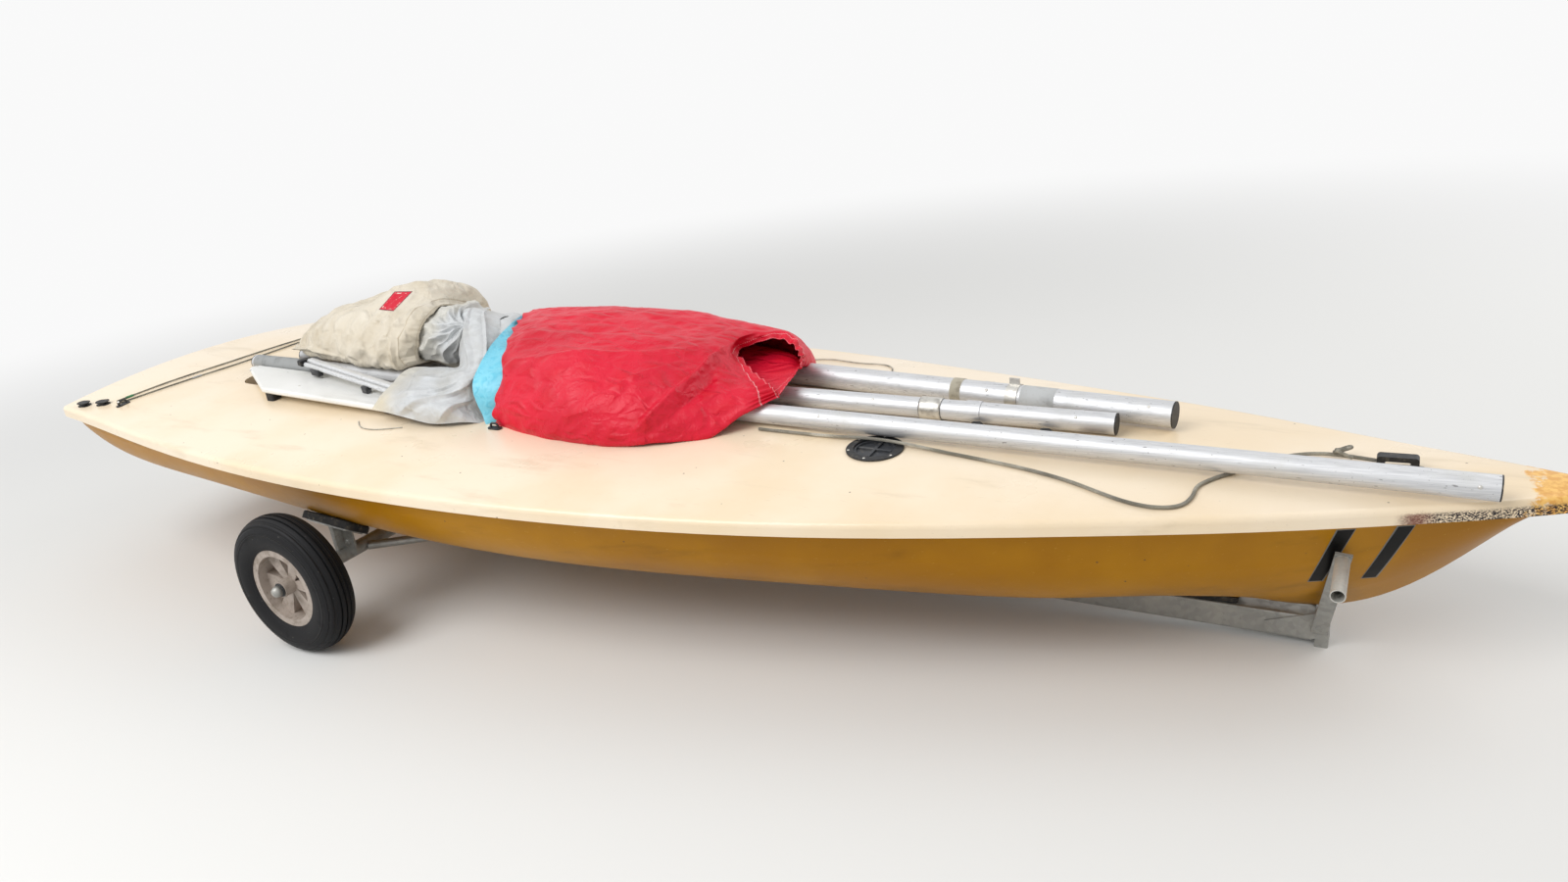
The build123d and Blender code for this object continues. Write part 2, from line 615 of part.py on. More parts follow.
spars_clear = [s.bar(-5, s.length + PLUG_FLANGE + 2, s.radius + SOFT_GAP)
               for s in (UPPER, BOOM, LOWER)]
deck_clear = DECK_BODY.moved(Pos(0, 0, SOFT_GAP))
tiller_clear = TILLER * Pos(0, 0, -26) * extrude(Pos(EXTENSION_OFFSET / 2, 0) * RectangleRounded(
    TILLER_WIDTH + EXTENSION_OFFSET + 2 * SOFT_GAP + 8, TILLER_HEIGHT + 2 * SOFT_GAP, 3),
    tiller_length + 30)
eye_clear = on_deck(STRAP_EYE_X, STRAP_EYE_Y, lift=-5) * extrude(SlotOverall(48, 22), 27)
head_clear = in_head(HEAD_LENGTH + 60, HEAD_WIDTH + 60, low_face - HEAD_CHEEK - SOFT_GAP - 1,
                     top_face + HEAD_CHEEK + SOFT_GAP)
blade_clear = BLADE * Pos(0, 0, SOFT_GAP) * extrude(offset(blade_face, SOFT_GAP), -BLADE_THICKNESS
                                                    - 2 * SOFT_GAP)


def settle(shape, *others):
    """What of a soft solid is left clear of the deck, the spars and other pieces."""
    for other in (deck_clear, *spars_clear, *others):
        shape = max((shape - other).solids(), key=lambda solid: solid.volume)
    return shape


canvas_rows = [
    (-1560, 0, -10, 80, (68, 650), (2, 655)),
    (-1440, -5, -95, 240, (195, 700), (-50, 720)),
    (-1200, -10, -130, 350, (280, 760), (-60, 785)),
    (-1010, -15, -135, 370, (300, 780), (-65, 812)),
    (-872, -20, -135, 300, (230, 760), (-65, 800)),
]
add("sail_bag", settle(soft(canvas_rows, CANVAS_BASE, 30), tiller_clear, head_clear, blade_clear))
sail_rows = [
    (-869, -20, -160, 290, (220, 740), (40, 775), (-85, 760), (-145, 680)),
    (-762, -3, -384, 270, (200, 740), (-20, 760), (-205, 640), (-378, 563)),
    (-675, 3, -362, 260, (190, 740), (0, 765), (-180, 655), (-354, 576)),
    (-536, 25, -345, 300, (230, 705), (60, 722), (-110, 680), (-250, 610)),
]
add("sail", settle(soft(sail_rows, SOFT_BASE, 20, True), tiller_clear, head_clear,
                   blade_clear, eye_clear))
foil_bag_rows = [
    (-533, 25, -350, 350, (240, 710), (-240, 700)),
    (-250, 18, -350, 400, (280, 725), (-230, 705)),
    (30, 8, -322, 395, (275, 712), (-202, 680)),
    (240, 0, -262, 360, (260, 680), (-162, 640)),
    (350, -5, -150, 290, (230, 650), (-90, 610)),
    (400, -6, -70, 200, (160, 620), (-30, 590)),
]
slot_clear = block(SLOT_FRONT_X - SLOT_LENGTH - 20, SLOT_FRONT_X + 20, -30, 30, 440, 508)
add("foil_bag", settle(soft(foil_bag_rows, SOFT_BASE, 34), eye_clear, slot_clear))


# Ropes, as runs joined by arcs
def rope(points, diameter):
    """A rope's tube, each arc as large as its two runs allow."""
    pts = [Vector(*p) for p in points]
    radii = []
    for before, here, after in zip(pts, pts[1:], pts[2:]):
        turn = math.radians((here - before).get_angle(after - here))
        shorter = min((here - before).length, (after - here).length)
        radii.append(0.45 * shorter / math.tan(turn / 2))
    path = FilletPolyline(*pts, radius=radii)
    body = sweep(Plane(origin=path @ 0, z_dir=path % 0) * Circle(diameter / 2), path)
    print("rope", round(path.length), "mm, tightest arc", round(min(radii), 1),
          "volume ratio", round(body.volume / (path.length * math.pi * diameter ** 2 / 4), 4))
    return body


def laid(points, diameter):
    """Route points on the deck: x, y and the height of the rope's underside over the deck."""
    return [(x, y, deck_height(x, y) + diameter / 2 + REST_GAP + up) for x, y, up in points]


# The bow line, from under the foil bag past the port and the upper mast to the fairlead
BOW_LINE = [
    (398, -152, 0.4), (500, -151, 0.4), (600, -150, 1), (688, -151, 8), (778, -154, 8),
    (866, -161, 2), (952, -172, 0.4), (1040, -186, 0.4), (1124, -205, 0.4), (1200, -230, 0.4),
    (1266, -262, 0.4), (1330, -290, 0.4), (1388, -298, 0.4), (1434, -280, 0.4),
    (1450, -236, 0.4), (1448, -188, 0.4), (1474, -144, 0.1), (1512, -100, 0.1),
    (1552, -48, 0.2), (1598, -4, 0.4), (1652, 22, 0.4), (1708, 26, 0.4), (1764, 9, 5),
]
add("bow_line", rope(laid(BOW_LINE, BOW_LINE_DIAMETER), BOW_LINE_DIAMETER))

# The foil bag's drawstring: one end in a loose loop to the lower mast, one short end
BAG_CORD_LOOP = [
    (206, 374, 0.4), (206, 424, 0.4), (236, 470, 0.4), (290, 488, 0.4), (344, 474, 0.4),
    (396, 464, 0.4), (446, 478, 0.4), (494, 460, 0.4), (520, 412, 0.4), (530, 358, 0.4),
    (536, 304, 0.4), (540, 254, 0.4),
]
BAG_CORD_END = [
    (332, 346, 0.4), (358, 324, 0.4), (380, 298, 0.4), (396, 270, 0.4)]
add("bag_cord_loop", rope(laid(BAG_CORD_LOOP, BAG_CORD_DIAMETER), BAG_CORD_DIAMETER))
add("bag_cord_end", rope(laid(BAG_CORD_END, BAG_CORD_DIAMETER), BAG_CORD_DIAMETER))

# A thin string that lies in a loop beside the sail
SAIL_STRING = [
    (-820, -372, 0.3), (-792, -398, 0.3), (-750, -410, 0.3), (-708, -404, 0.3),
    (-672, -390, 0.3), (-640, -374, 0.3)]
add("sail_string", rope(laid(SAIL_STRING, STRING_DIAMETER), STRING_DIAMETER))

# The traveller, pulled across the after deck in two parts
TRAVELLER_PARTS = [
    [(-1898, -446, 1), (-1876, -320, 1), (-1850, -200, 1), (-1826, -80, 1), (-1822, 40, 1),
     (-1824, 160, 1), (-1832, 290, 1), (-1844, 420, 1)],
    [(-1872, -462, 1), (-1832, -340, 1), (-1800, -220, 1), (-1772, -100, 1), (-1768, 30, 1),
     (-1780, 160, 1), (-1804, 290, 1), (-1834, 418, 1)],
]
add("traveller_line", Compound([
    rope(laid(points, TRAVELLER_DIAMETER), TRAVELLER_DIAMETER) for points in TRAVELLER_PARTS]))

# Trolley: a box beam from the front foot to behind the axle
beam_run = BEAM_FRONT_X - BEAM_REAR_X
BEAM_SLOPE = 0.038
beam_way = Vector(-1, 0, BEAM_SLOPE).normalized()
BEAM = Plane(origin=(BEAM_FRONT_X, 0, BEAM_FRONT_Z), x_dir=(0, 1, 0), z_dir=beam_way)
beam_length = beam_run * math.sqrt(1 + BEAM_SLOPE ** 2)
beam_outer = RectangleRounded(BEAM_WIDTH, BEAM_HEIGHT, 5)
beam_inner = RectangleRounded(BEAM_WIDTH - 2 * BEAM_WALL, BEAM_HEIGHT - 2 * BEAM_WALL, 2.5)
add("trolley_beam", BEAM * extrude(beam_outer - beam_inner, beam_length))


def beam_z(x):
    """Height of the beam's axis."""
    return BEAM_FRONT_Z + (BEAM_FRONT_X - x) * BEAM_SLOPE


# Front foot: a short post on the ground, plated to the beam's sides
post_x = BEAM_FRONT_X + 1.5
post = block(post_x, post_x + POST_LENGTH, -BEAM_WIDTH / 2, BEAM_WIDTH / 2, 0, POST_HEIGHT)
post = fillet(post.edges().filter_by(Axis.Z), 4)
post = post - block(post_x + PLATE, post_x + POST_LENGTH - PLATE, -BEAM_WIDTH / 2 + PLATE,
                    BEAM_WIDTH / 2 - PLATE, -1, POST_HEIGHT - PLATE)
gusset_y = BEAM_WIDTH / 2 + REST_GAP
gusset = extrude(Plane.XZ * make_face(Polyline(
    (post_x + POST_LENGTH, 20), (post_x + POST_LENGTH, POST_HEIGHT), (post_x, POST_HEIGHT),
    (post_x - GUSSET_LENGTH, beam_z(post_x) + 8), (post_x - GUSSET_LENGTH, 26),
    close=True)), PLATE)
post = post + Pos(0, -gusset_y, 0) * gusset + Pos(0, gusset_y + PLATE, 0) * gusset
post = post + block(post_x + 2, post_x + POST_LENGTH - 2, -gusset_y - PLATE, gusset_y + PLATE,
                    POST_HEIGHT - PLATE, POST_HEIGHT)
add("front_post", post)


# Arms of the bow rest, a flat bar up each side of the bow, each with a tube to push on
def mirrored(shape):
    """A shape and its twin on the other side."""
    return Compound([shape, shape.mirror(Plane.XZ)])


arm_foot, arm_top = Vector(*ARM_FOOT), Vector(*ARM_TOP)
arm_way = (arm_top - arm_foot).normalized()
ARM = Plane(origin=arm_foot, x_dir=(1, 0, 0), z_dir=arm_way)
arm = ARM * extrude(Rectangle(ARM_WIDTH, ARM_THICKNESS), (arm_top - arm_foot).length)
add("bow_arms", mirrored(arm))
grip_x, grip_y, grip_z = ARM_TOP[0] - 2, ARM_TOP[1] - 6, ARM_TOP[2] - 16
grip = tube((grip_x, grip_y, grip_z), (grip_x, grip_y + GRIP_LENGTH, grip_z - 4),
            GRIP_DIAMETER, GRIP_WALL)
grip = grip - ARM * Pos(0, -47, 0) * extrude(Rectangle(100, 100 - 2 * REST_GAP), 400)
grip = grip - ARM * extrude(Rectangle(60, ARM_THICKNESS + 2 * REST_GAP), 400)
grip = max(grip.solids(), key=lambda solid: solid.volume)
add("push_grips", mirrored(grip))

HULL_FACES = HULL_BODY.faces()


def hull_bottom(x, y):
    """Height of the hull's underside."""
    ray = Axis((x, y, -100), (0, 0, 1))
    return min(h[0].Z for f in HULL_FACES for h in f.find_intersection_points(ray))


keel_z = min(hull_bottom(KEEL_PAD_X + d, 0) for d in (-KEEL_PAD_LENGTH / 2, 0, KEEL_PAD_LENGTH / 2))
pad_low = beam_z(KEEL_PAD_X - KEEL_PAD_LENGTH / 2) + BEAM_HEIGHT / 2 + 1
keel_pad = Pos(KEEL_PAD_X, 0, (pad_low + keel_z + 6) / 2) * Box(
    KEEL_PAD_LENGTH, BEAM_WIDTH, keel_z + 6 - pad_low)
keel_pad = keel_pad - HULL_BODY.moved(Pos(0, 0, -REST_GAP))
add("keel_pad", keel_pad)

# Axle: a tube across the beam with a saddle, and a stub with a nut for each wheel
tube_end = WHEEL_Y - HUB_WIDTH / 2 - BEARING_RUN
axle = tube((AXLE_X, -tube_end, WHEEL_RADIUS), (AXLE_X, tube_end, WHEEL_RADIUS), AXLE_TUBE,
            AXLE_TUBE_WALL)
saddle_low = beam_z(AXLE_X - 30) + BEAM_HEIGHT / 2 + REST_GAP
axle = axle + (block(AXLE_X - 30, AXLE_X + 30, -45, 45, saddle_low, WHEEL_RADIUS - 10)
               - rod((AXLE_X, -50, WHEEL_RADIUS), (AXLE_X, 50, WHEEL_RADIUS), AXLE_TUBE / 2 - 1))
stub_end = WHEEL_Y + HUB_WIDTH / 2 + BEARING_RUN + AXLE_NUT_HEIGHT + 4
stub = rod((AXLE_X, tube_end - 40, WHEEL_RADIUS), (AXLE_X, stub_end, WHEEL_RADIUS),
           STUB_DIAMETER / 2)
plug = rod((AXLE_X, tube_end - 40, WHEEL_RADIUS), (AXLE_X, tube_end, WHEEL_RADIUS),
           AXLE_TUBE / 2 - 1)
nut_y = WHEEL_Y + HUB_WIDTH / 2 + BEARING_RUN
nut = Plane(origin=(AXLE_X, nut_y, WHEEL_RADIUS), z_dir=(0, 1, 0)) * extrude(
    RegularPolygon(AXLE_NUT / 2, 6), AXLE_NUT_HEIGHT)
end_gear = stub + plug + nut
axle = axle + end_gear + end_gear.mirror(Plane.XZ)
add("axle", axle)

# Cradle: a bracket on the axle at each side with a pad under the hull's bilge
pad_z = hull_bottom(AXLE_X, CRADLE_Y)
slope_y = (hull_bottom(AXLE_X, CRADLE_Y + 20) - hull_bottom(AXLE_X, CRADLE_Y - 20)) / 40
slope_x = (hull_bottom(AXLE_X + 40, CRADLE_Y) - hull_bottom(AXLE_X - 40, CRADLE_Y)) / 80
pad_normal = Vector(-slope_x, -slope_y, 1).normalized()
PAD = Plane(origin=(AXLE_X, CRADLE_Y, pad_z), x_dir=Vector(1, 0, slope_x), z_dir=pad_normal)
pad = extrude(RectangleRounded(PAD_LENGTH, PAD_WIDTH, 14), -PAD_THICKNESS)
pad = PAD * Pos(0, 0, -0.6) * fillet(pad.edges().group_by(Axis.Z)[-1], 6)
add("cradle_pads", mirrored(pad - HULL_BODY.moved(Pos(0, 0, -REST_GAP))))
tray = PAD * Pos(0, 0, -0.6 - PAD_THICKNESS - REST_GAP) * extrude(
    RectangleRounded(PAD_LENGTH - 30, PAD_WIDTH - 16, 8), -4)
under_pad = PAD * Pos(0, 0, -PAD_THICKNESS - 4 + 200) * Box(500, 500, 400)
webs = block(AXLE_X - 46, AXLE_X + 46, CRADLE_Y - 3, CRADLE_Y + 3, WHEEL_RADIUS, pad_z)
webs = webs + block(AXLE_X - 3, AXLE_X + 3, CRADLE_Y - 26, CRADLE_Y + 26, WHEEL_RADIUS, pad_z)
webs = webs - under_pad - rod((AXLE_X, 0, WHEEL_RADIUS), (AXLE_X, 700, WHEEL_RADIUS),
                              AXLE_TUBE / 2 + REST_GAP)
add("cradle_brackets", mirrored(tray + webs))

# Diagonal braces from the axle to the beam
brace_z = beam_z(BRACE_FRONT_X)
brace_from = (AXLE_X + AXLE_TUBE / 2 - 4, BRACE_AXLE_Y, WHEEL_RADIUS - 4)
brace_to = (BRACE_FRONT_X, BEAM_WIDTH / 2 - 4, brace_z)
brace = tube(brace_from, brace_to, BRACE_TUBE, BRACE_TUBE_WALL)
brace = brace - rod((AXLE_X, 0, WHEEL_RADIUS), (AXLE_X, 700, WHEEL_RADIUS),
                    AXLE_TUBE / 2 + REST_GAP)
brace = brace - BEAM * extrude(
    RectangleRounded(BEAM_WIDTH + 2 * REST_GAP, BEAM_HEIGHT + 2 * REST_GAP, 5), beam_length)
brace = max(brace.solids(), key=lambda solid: solid.volume)
add("diagonal_braces", mirrored(brace))


# Wheels
def turned(points_and_arcs):
    """A ring turned about the wheel's axis, from edges in radius and width."""
    return revolve(Plane.XZ * make_face(Wire(points_and_arcs)), Axis.Z)


def ring(r0, r1, w0, w1):
    """A plain ring between two radii and two places along the axle."""
    body = Pos(0, 0, w0) * extrude(Circle(r1), w1 - w0)
    return body - Pos(0, 0, w0 - 1) * extrude(Circle(r0), w1 - w0 + 2) if r0 else body


def make_tyre():
    """The tyre, filled, with three grooves round its tread and room for the rim."""
    bead, tread, flank = BEAD_WIDTH / 2, TREAD_WIDTH / 2, TYRE_WIDTH / 2
    shoulder = WHEEL_RADIUS - SHOULDER_DROP
    middle = (BEAD_RADIUS + WHEEL_RADIUS) / 2 - 4
    tyre = turned([
        ThreePointArc((shoulder, -tread), (WHEEL_RADIUS, 0), (shoulder, tread)),
        ThreePointArc((shoulder, tread), (middle, flank), (BEAD_RADIUS, bead)),
        Line((BEAD_RADIUS, bead), (BEAD_RADIUS, -bead)),
        ThreePointArc((BEAD_RADIUS, -bead), (middle, -flank), (shoulder, -tread)),
    ])
    for place in (-GROOVE_PITCH, 0, GROOVE_PITCH):
        depth = WHEEL_RADIUS - GROOVE_DEPTH - abs(place) * 0.12
        tyre = tyre - ring(depth, WHEEL_RADIUS + 5, place - GROOVE_WIDTH / 2,
                           place + GROOVE_WIDTH / 2)
    for side in (-1, 1):
        low, high = sorted((side * (RIM_WIDTH / 2 - RIM_FLANGE - FIT_GAP), side * (RIM_WIDTH / 2 + 9)))
        tyre = tyre - ring(BEAD_RADIUS - 5, RIM_FLANGE_RADIUS + FIT_GAP, low, high)
    return tyre


def make_rim():
    """The moulded wheel: rim, six spokes and hub."""
    barrel = BEAD_RADIUS - FIT_GAP
    half = RIM_WIDTH / 2
    rim = ring(barrel - RIM_WALL, barrel, -half, half)
    for side in (-1, 1):
        low, high = sorted((side * (half - RIM_FLANGE), side * half))
        rim = rim + ring(barrel - RIM_WALL, RIM_FLANGE_RADIUS, low, high)
    rim = rim + ring(0, HUB_DIAMETER / 2, -HUB_WIDTH / 2, HUB_WIDTH / 2)
    reach = barrel - RIM_WALL + 1
    spoke = Pos(0, 0, -SPOKE_DEPTH / 2) * extrude(make_face(Polyline(
        (0, -SPOKE_HUB_WIDTH / 2), (reach, -SPOKE_RIM_WIDTH / 2), (reach, SPOKE_RIM_WIDTH / 2),
        (0, SPOKE_HUB_WIDTH / 2), close=True)), SPOKE_DEPTH)
    for i in range(SPOKES):
        rim = rim + Rot(0, 0, 360 / SPOKES * i) * spoke
    return rim - ring(0, STUB_DIAMETER / 2 + STUB_CLEARANCE, -HUB_WIDTH, HUB_WIDTH)


tyre, rim = make_tyre(), make_rim()
for side, word in ((-1, "starboard"), (1, "port")):
    hub = Plane(origin=(AXLE_X, side * WHEEL_Y, WHEEL_RADIUS), x_dir=(1, 0, 0), z_dir=(0, side, 0))
    add("tyre_" + word, hub * tyre)
    add("rim_" + word, hub * rim)


if __name__ == "__main__":
    os.makedirs("parts", exist_ok=True)
    for name, shape in NODES.items():
        export_step(shape, f"parts/{name}.step")
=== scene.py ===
import math

import bmesh
import bpy
from mathutils import Matrix, Vector, noise
from mathutils.bvhtree import BVHTree


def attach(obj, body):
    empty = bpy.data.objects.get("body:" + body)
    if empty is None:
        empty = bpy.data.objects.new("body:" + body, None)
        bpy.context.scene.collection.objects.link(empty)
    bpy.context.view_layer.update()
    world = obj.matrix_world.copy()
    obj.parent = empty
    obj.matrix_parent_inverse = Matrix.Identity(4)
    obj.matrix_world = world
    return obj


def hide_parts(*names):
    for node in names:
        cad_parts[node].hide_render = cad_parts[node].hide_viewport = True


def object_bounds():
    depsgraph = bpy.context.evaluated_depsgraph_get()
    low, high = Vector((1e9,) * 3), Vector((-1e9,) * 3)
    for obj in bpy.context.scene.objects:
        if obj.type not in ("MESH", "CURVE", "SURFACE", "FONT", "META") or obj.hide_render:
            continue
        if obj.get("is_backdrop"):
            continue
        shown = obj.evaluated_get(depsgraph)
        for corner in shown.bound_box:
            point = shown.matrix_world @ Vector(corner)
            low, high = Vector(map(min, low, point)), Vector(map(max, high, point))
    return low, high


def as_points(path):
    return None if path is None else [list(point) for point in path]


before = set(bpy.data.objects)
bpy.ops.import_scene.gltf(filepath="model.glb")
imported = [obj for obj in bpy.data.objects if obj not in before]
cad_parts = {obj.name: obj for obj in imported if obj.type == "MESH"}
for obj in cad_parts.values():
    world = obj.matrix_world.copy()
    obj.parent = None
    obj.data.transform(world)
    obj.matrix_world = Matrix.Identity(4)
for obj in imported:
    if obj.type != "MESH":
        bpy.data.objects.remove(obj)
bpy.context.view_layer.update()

# The camera stands off the boat's starboard bow, a little above the deck, tilted down and
# rolled by a few degrees. Its place and lens were solved from the known sizes of hull and spars.
camera_data = bpy.data.cameras.new("camera")
camera_data.sensor_width = 36.0
camera_data.lens = 25.04
camera_data.clip_end = 200.0
camera = bpy.data.objects.new("camera", camera_data)
bpy.context.scene.collection.objects.link(camera)
camera_right = Vector((0.86934, 0.47640, -0.13151))
camera_up = Vector((-0.05711, 0.36114, 0.93076))
camera.matrix_world = Matrix.Translation((1.80434, -2.33754, 1.38858)) @ Matrix(
    (camera_right, camera_up, camera_right.cross(camera_up))).transposed().to_4x4()
bpy.context.scene.camera = camera


# The bow line is braided polyester that has gone grey with use. It comes out from under the
# nylon bag, lies over the inspection port, goes under the upper mast and ties to the bow eye.
class Shade:
    """A shader socket with Python's operators; its node method adds any other node."""

    def __init__(self, tree, socket=None):
        self.tree, self.socket = tree, socket

    def node(self, kind, settings=None, inputs=None, output=0):
        """Add a node: first its settings, then the values or links of its sockets."""
        made = self.tree.nodes.new("ShaderNode" + kind)
        for key, value in (settings or {}).items():
            if key != "stops":
                setattr(made, key, value)
                continue
            stops = made.color_ramp.elements
            for i, (place, colour) in enumerate(value):
                stop = stops[i] if i < 2 else stops.new(place)
                stop.position, stop.color = place, (*colour[:3], 1.0)
        for key, value in (inputs or {}).items():
            if isinstance(value, Shade):
                self.tree.links.new(value.socket, made.inputs[key])
            else:
                made.inputs[key].default_value = value
        return Shade(self.tree, made.outputs[output] if made.outputs else None)

    def maths(self, operation, *values):
        return self.node("Math", {"operation": operation}, dict(enumerate(values)))

    def __add__(self, other):
        return self.maths("ADD", self, other)

    def __sub__(self, other):
        return self.maths("SUBTRACT", self, other)

    def __rsub__(self, other):
        return self.maths("SUBTRACT", other, self)

    def __mul__(self, other):
        return self.maths("MULTIPLY", self, other)

    def coordinates(self, kind="Object"):
        return self.node("TexCoord", output=kind)

    def parts(self, vector):
        """The three numbers of a vector."""
        split = vector.node("SeparateXYZ", inputs={0: vector})
        outputs = split.socket.node.outputs
        return [Shade(self.tree, outputs[i]) for i in range(3)]

    def stretched(self, vector, scale, turn=(0.0, 0.0, 0.0)):
        return self.node("Mapping", inputs={"Vector": vector, "Scale": scale, "Rotation": turn})

    def cloud(self, vector, scale, detail=3.0, rough=0.55):
        """Soft noise from 0 to 1."""
        return self.node("TexNoise", inputs={
            "Vector": vector, "Scale": scale, "Detail": detail, "Roughness": rough})

    def patches(self, vector, scale, low, high, detail=3.0, rough=0.55):
        """Soft patches: 0 where the noise is under low, 1 where it is over high."""
        return self.between(self.cloud(vector, scale, detail, rough), low, high)

    def crumple(self, vector, scale):
        """Creases as in crushed cloth: sharp lines between flat facets, from 0 to 1."""
        bent = self.node("VectorMath", {"operation": "ADD"}, {
            0: vector, 1: self.cloud(vector, scale * 0.7, 2.0) * 0.09})
        cells = self.node("TexVoronoi", {"feature": "DISTANCE_TO_EDGE"}, {
            "Vector": bent, "Scale": scale})
        return self.between(cells, 0.0, 0.45)

    def between(self, value, low, high, start=0.0, end=1.0):
        """A smooth step from start to end as the value goes from low to high."""
        return self.node("MapRange", {"interpolation_type": "SMOOTHSTEP"}, {
            "Value": value, "From Min": low, "From Max": high, "To Min": start, "To Max": end})

    def blend(self, mask, under, over):
        """One colour over another, where the mask is 1."""
        return self.node("Mix", {"data_type": "RGBA"}, {0: mask, 6: under, 7: over}, 2)

    def bump(self, height, distance, strength=1.0, normal=None):
        inputs = {"Height": height, "Distance": distance, "Strength": strength}
        if normal is not None:
            inputs["Normal"] = normal
        return self.node("Bump", inputs=inputs)

    def finish(self, **inputs):
        """The surface itself; its sockets' names are written with _ for a space."""
        named = {key.replace("_", " "): value for key, value in inputs.items()}
        surface = self.node("BsdfPrincipled", inputs=named)
        self.node("OutputMaterial", inputs={"Surface": surface})


def new_material(name):
    made = bpy.data.materials.new(name)
    made.use_nodes = True
    made.node_tree.nodes.clear()
    return made, Shade(made.node_tree)


def rgb(red, green, blue):
    """A colour as an eye would read it off a screen, in 0 to 255."""
    return tuple((c / 255.0) ** 2.2 for c in (red, green, blue)) + (1.0,)


def braid(name, colour, dirt, length, diameter):
    """Braided rope: two sets of strands that cross, with flecks and grime along the length."""
    made, shade = new_material(name)
    around, along, _ = shade.parts(shade.coordinates("UV"))
    turns = length / (diameter * 2.6)
    left = shade.maths("SINE", (along * turns + around * 4.0) * 6.2832)
    right = shade.maths("SINE", (along * turns - around * 4.0) * 6.2832)
    strands = left.maths("MAXIMUM", left, right)
    place = shade.coordinates()
    patches = shade.patches(place, 18.0, 0.4, 0.65)
    flecks = shade.patches(place, 700.0, 0.55, 0.7, 1.0)
    tone = shade.blend(patches, colour, dirt)
    tone = shade.blend(flecks * 0.3, tone, rgb(96, 94, 86))
    # Painted shade: the grooves between the strands are darkened.
    tone = shade.blend(shade.between(strands, 0.6, -0.4) * 0.25, tone, rgb(104, 100, 88))
    shade.finish(Base_Color=tone, Roughness=0.85, Normal=shade.bump(strands, diameter * 0.12))
    return made


def add_piece(name, mesh, material, body="boat_and_trolley", smooth=True):
    """A finished mesh as a piece that rides a body."""
    piece = bpy.data.objects.new(name, mesh)
    bpy.context.scene.collection.objects.link(piece)
    mesh.materials.clear()
    mesh.materials.append(material)
    for face in mesh.polygons:
        face.use_smooth = smooth
    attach(piece, body)
    return piece


def mesh_from(bm, name):
    """Close a bmesh into a mesh."""
    mesh = bpy.data.meshes.new(name)
    bm.to_mesh(mesh)
    bm.free()
    return mesh


def rope_along(name, route, diameter):
    """A rope's mesh along a smooth curve through its route, and the points it follows."""
    data = bpy.data.curves.new(name, "CURVE")
    data.dimensions = "3D"
    data.resolution_u = 10
    spline = data.splines.new("NURBS")
    spline.points.add(len(route) - 1)
    for point, place in zip(spline.points, route):
        point.co = (*place, 1.0)
    spline.order_u = 3
    spline.use_endpoint_u = True
    guide = bpy.data.objects.new(name + "_guide", data)
    bpy.context.scene.collection.objects.link(guide)
    path = [v.co.copy() for v in bpy.data.meshes.new_from_object(guide).vertices]
    data.bevel_depth = diameter / 2
    data.bevel_resolution = 3
    data.use_fill_caps = True
    bpy.context.view_layer.update()
    seen = guide.evaluated_get(bpy.context.evaluated_depsgraph_get())
    mesh = bpy.data.meshes.new_from_object(seen)
    bpy.data.objects.remove(guide)
    return mesh, path


def cord_piece(name, route, diameter, material, slot, far_end="object", replaces=None, **facts):
    """A free cord that stands for its CAD node."""
    mesh, path = rope_along(name, route, diameter)
    piece = add_piece(name, mesh, material)
    length = sum((b - a).length for a, b in zip(path, path[1:]))
    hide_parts(replaces)
    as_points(path)
    return piece


BOW_LINE_DIAMETER = 0.008
BOW_LINE = [
    (0.3980, -0.1520, 0.4871), (0.5000, -0.1510, 0.4823), (0.6000, -0.1500, 0.4780),
    (0.6880, -0.1510, 0.4805), (0.7780, -0.1540, 0.4757), (0.8660, -0.1610, 0.4649),
    (0.9520, -0.1720, 0.4583), (1.0400, -0.1860, 0.4532), (1.1240, -0.2050, 0.4481),
    (1.2000, -0.2300, 0.4432), (1.2660, -0.2620, 0.4380), (1.3300, -0.2900, 0.4325),
    (1.3880, -0.2980, 0.4287), (1.4340, -0.2800, 0.4278), (1.4500, -0.2360, 0.4305),
    (1.4480, -0.1880, 0.4339), (1.4740, -0.1440, 0.4345), (1.5120, -0.1000, 0.4342),
    (1.5500, -0.0420, 0.4340), (1.5960, 0.0060, 0.4330), (1.6540, 0.0340, 0.4320),
    (1.7080, 0.0340, 0.4300), (1.7640, 0.0120, 0.4320)]
bow_rope = braid("bow_rope", rgb(228, 222, 206), rgb(200, 194, 176), 1.56, BOW_LINE_DIAMETER)
knot_route = [
    (1.686, 0.030, 0.438), (1.700, 0.020, 0.446), (1.720, 0.032, 0.450), (1.714, 0.052, 0.444),
    (1.694, 0.050, 0.435), (1.688, 0.030, 0.444), (1.704, 0.016, 0.440), (1.722, 0.010, 0.435)]
knot_mesh, _ = rope_along("bow_line_knot", knot_route, BOW_LINE_DIAMETER)
bow_knot = add_piece("bow_line_knot", knot_mesh, bow_rope)
cord_piece("bow_line_rope", BOW_LINE, BOW_LINE_DIAMETER, bow_rope, "rope_grey",
           replaces="bow_line", with_pieces=[bow_knot])

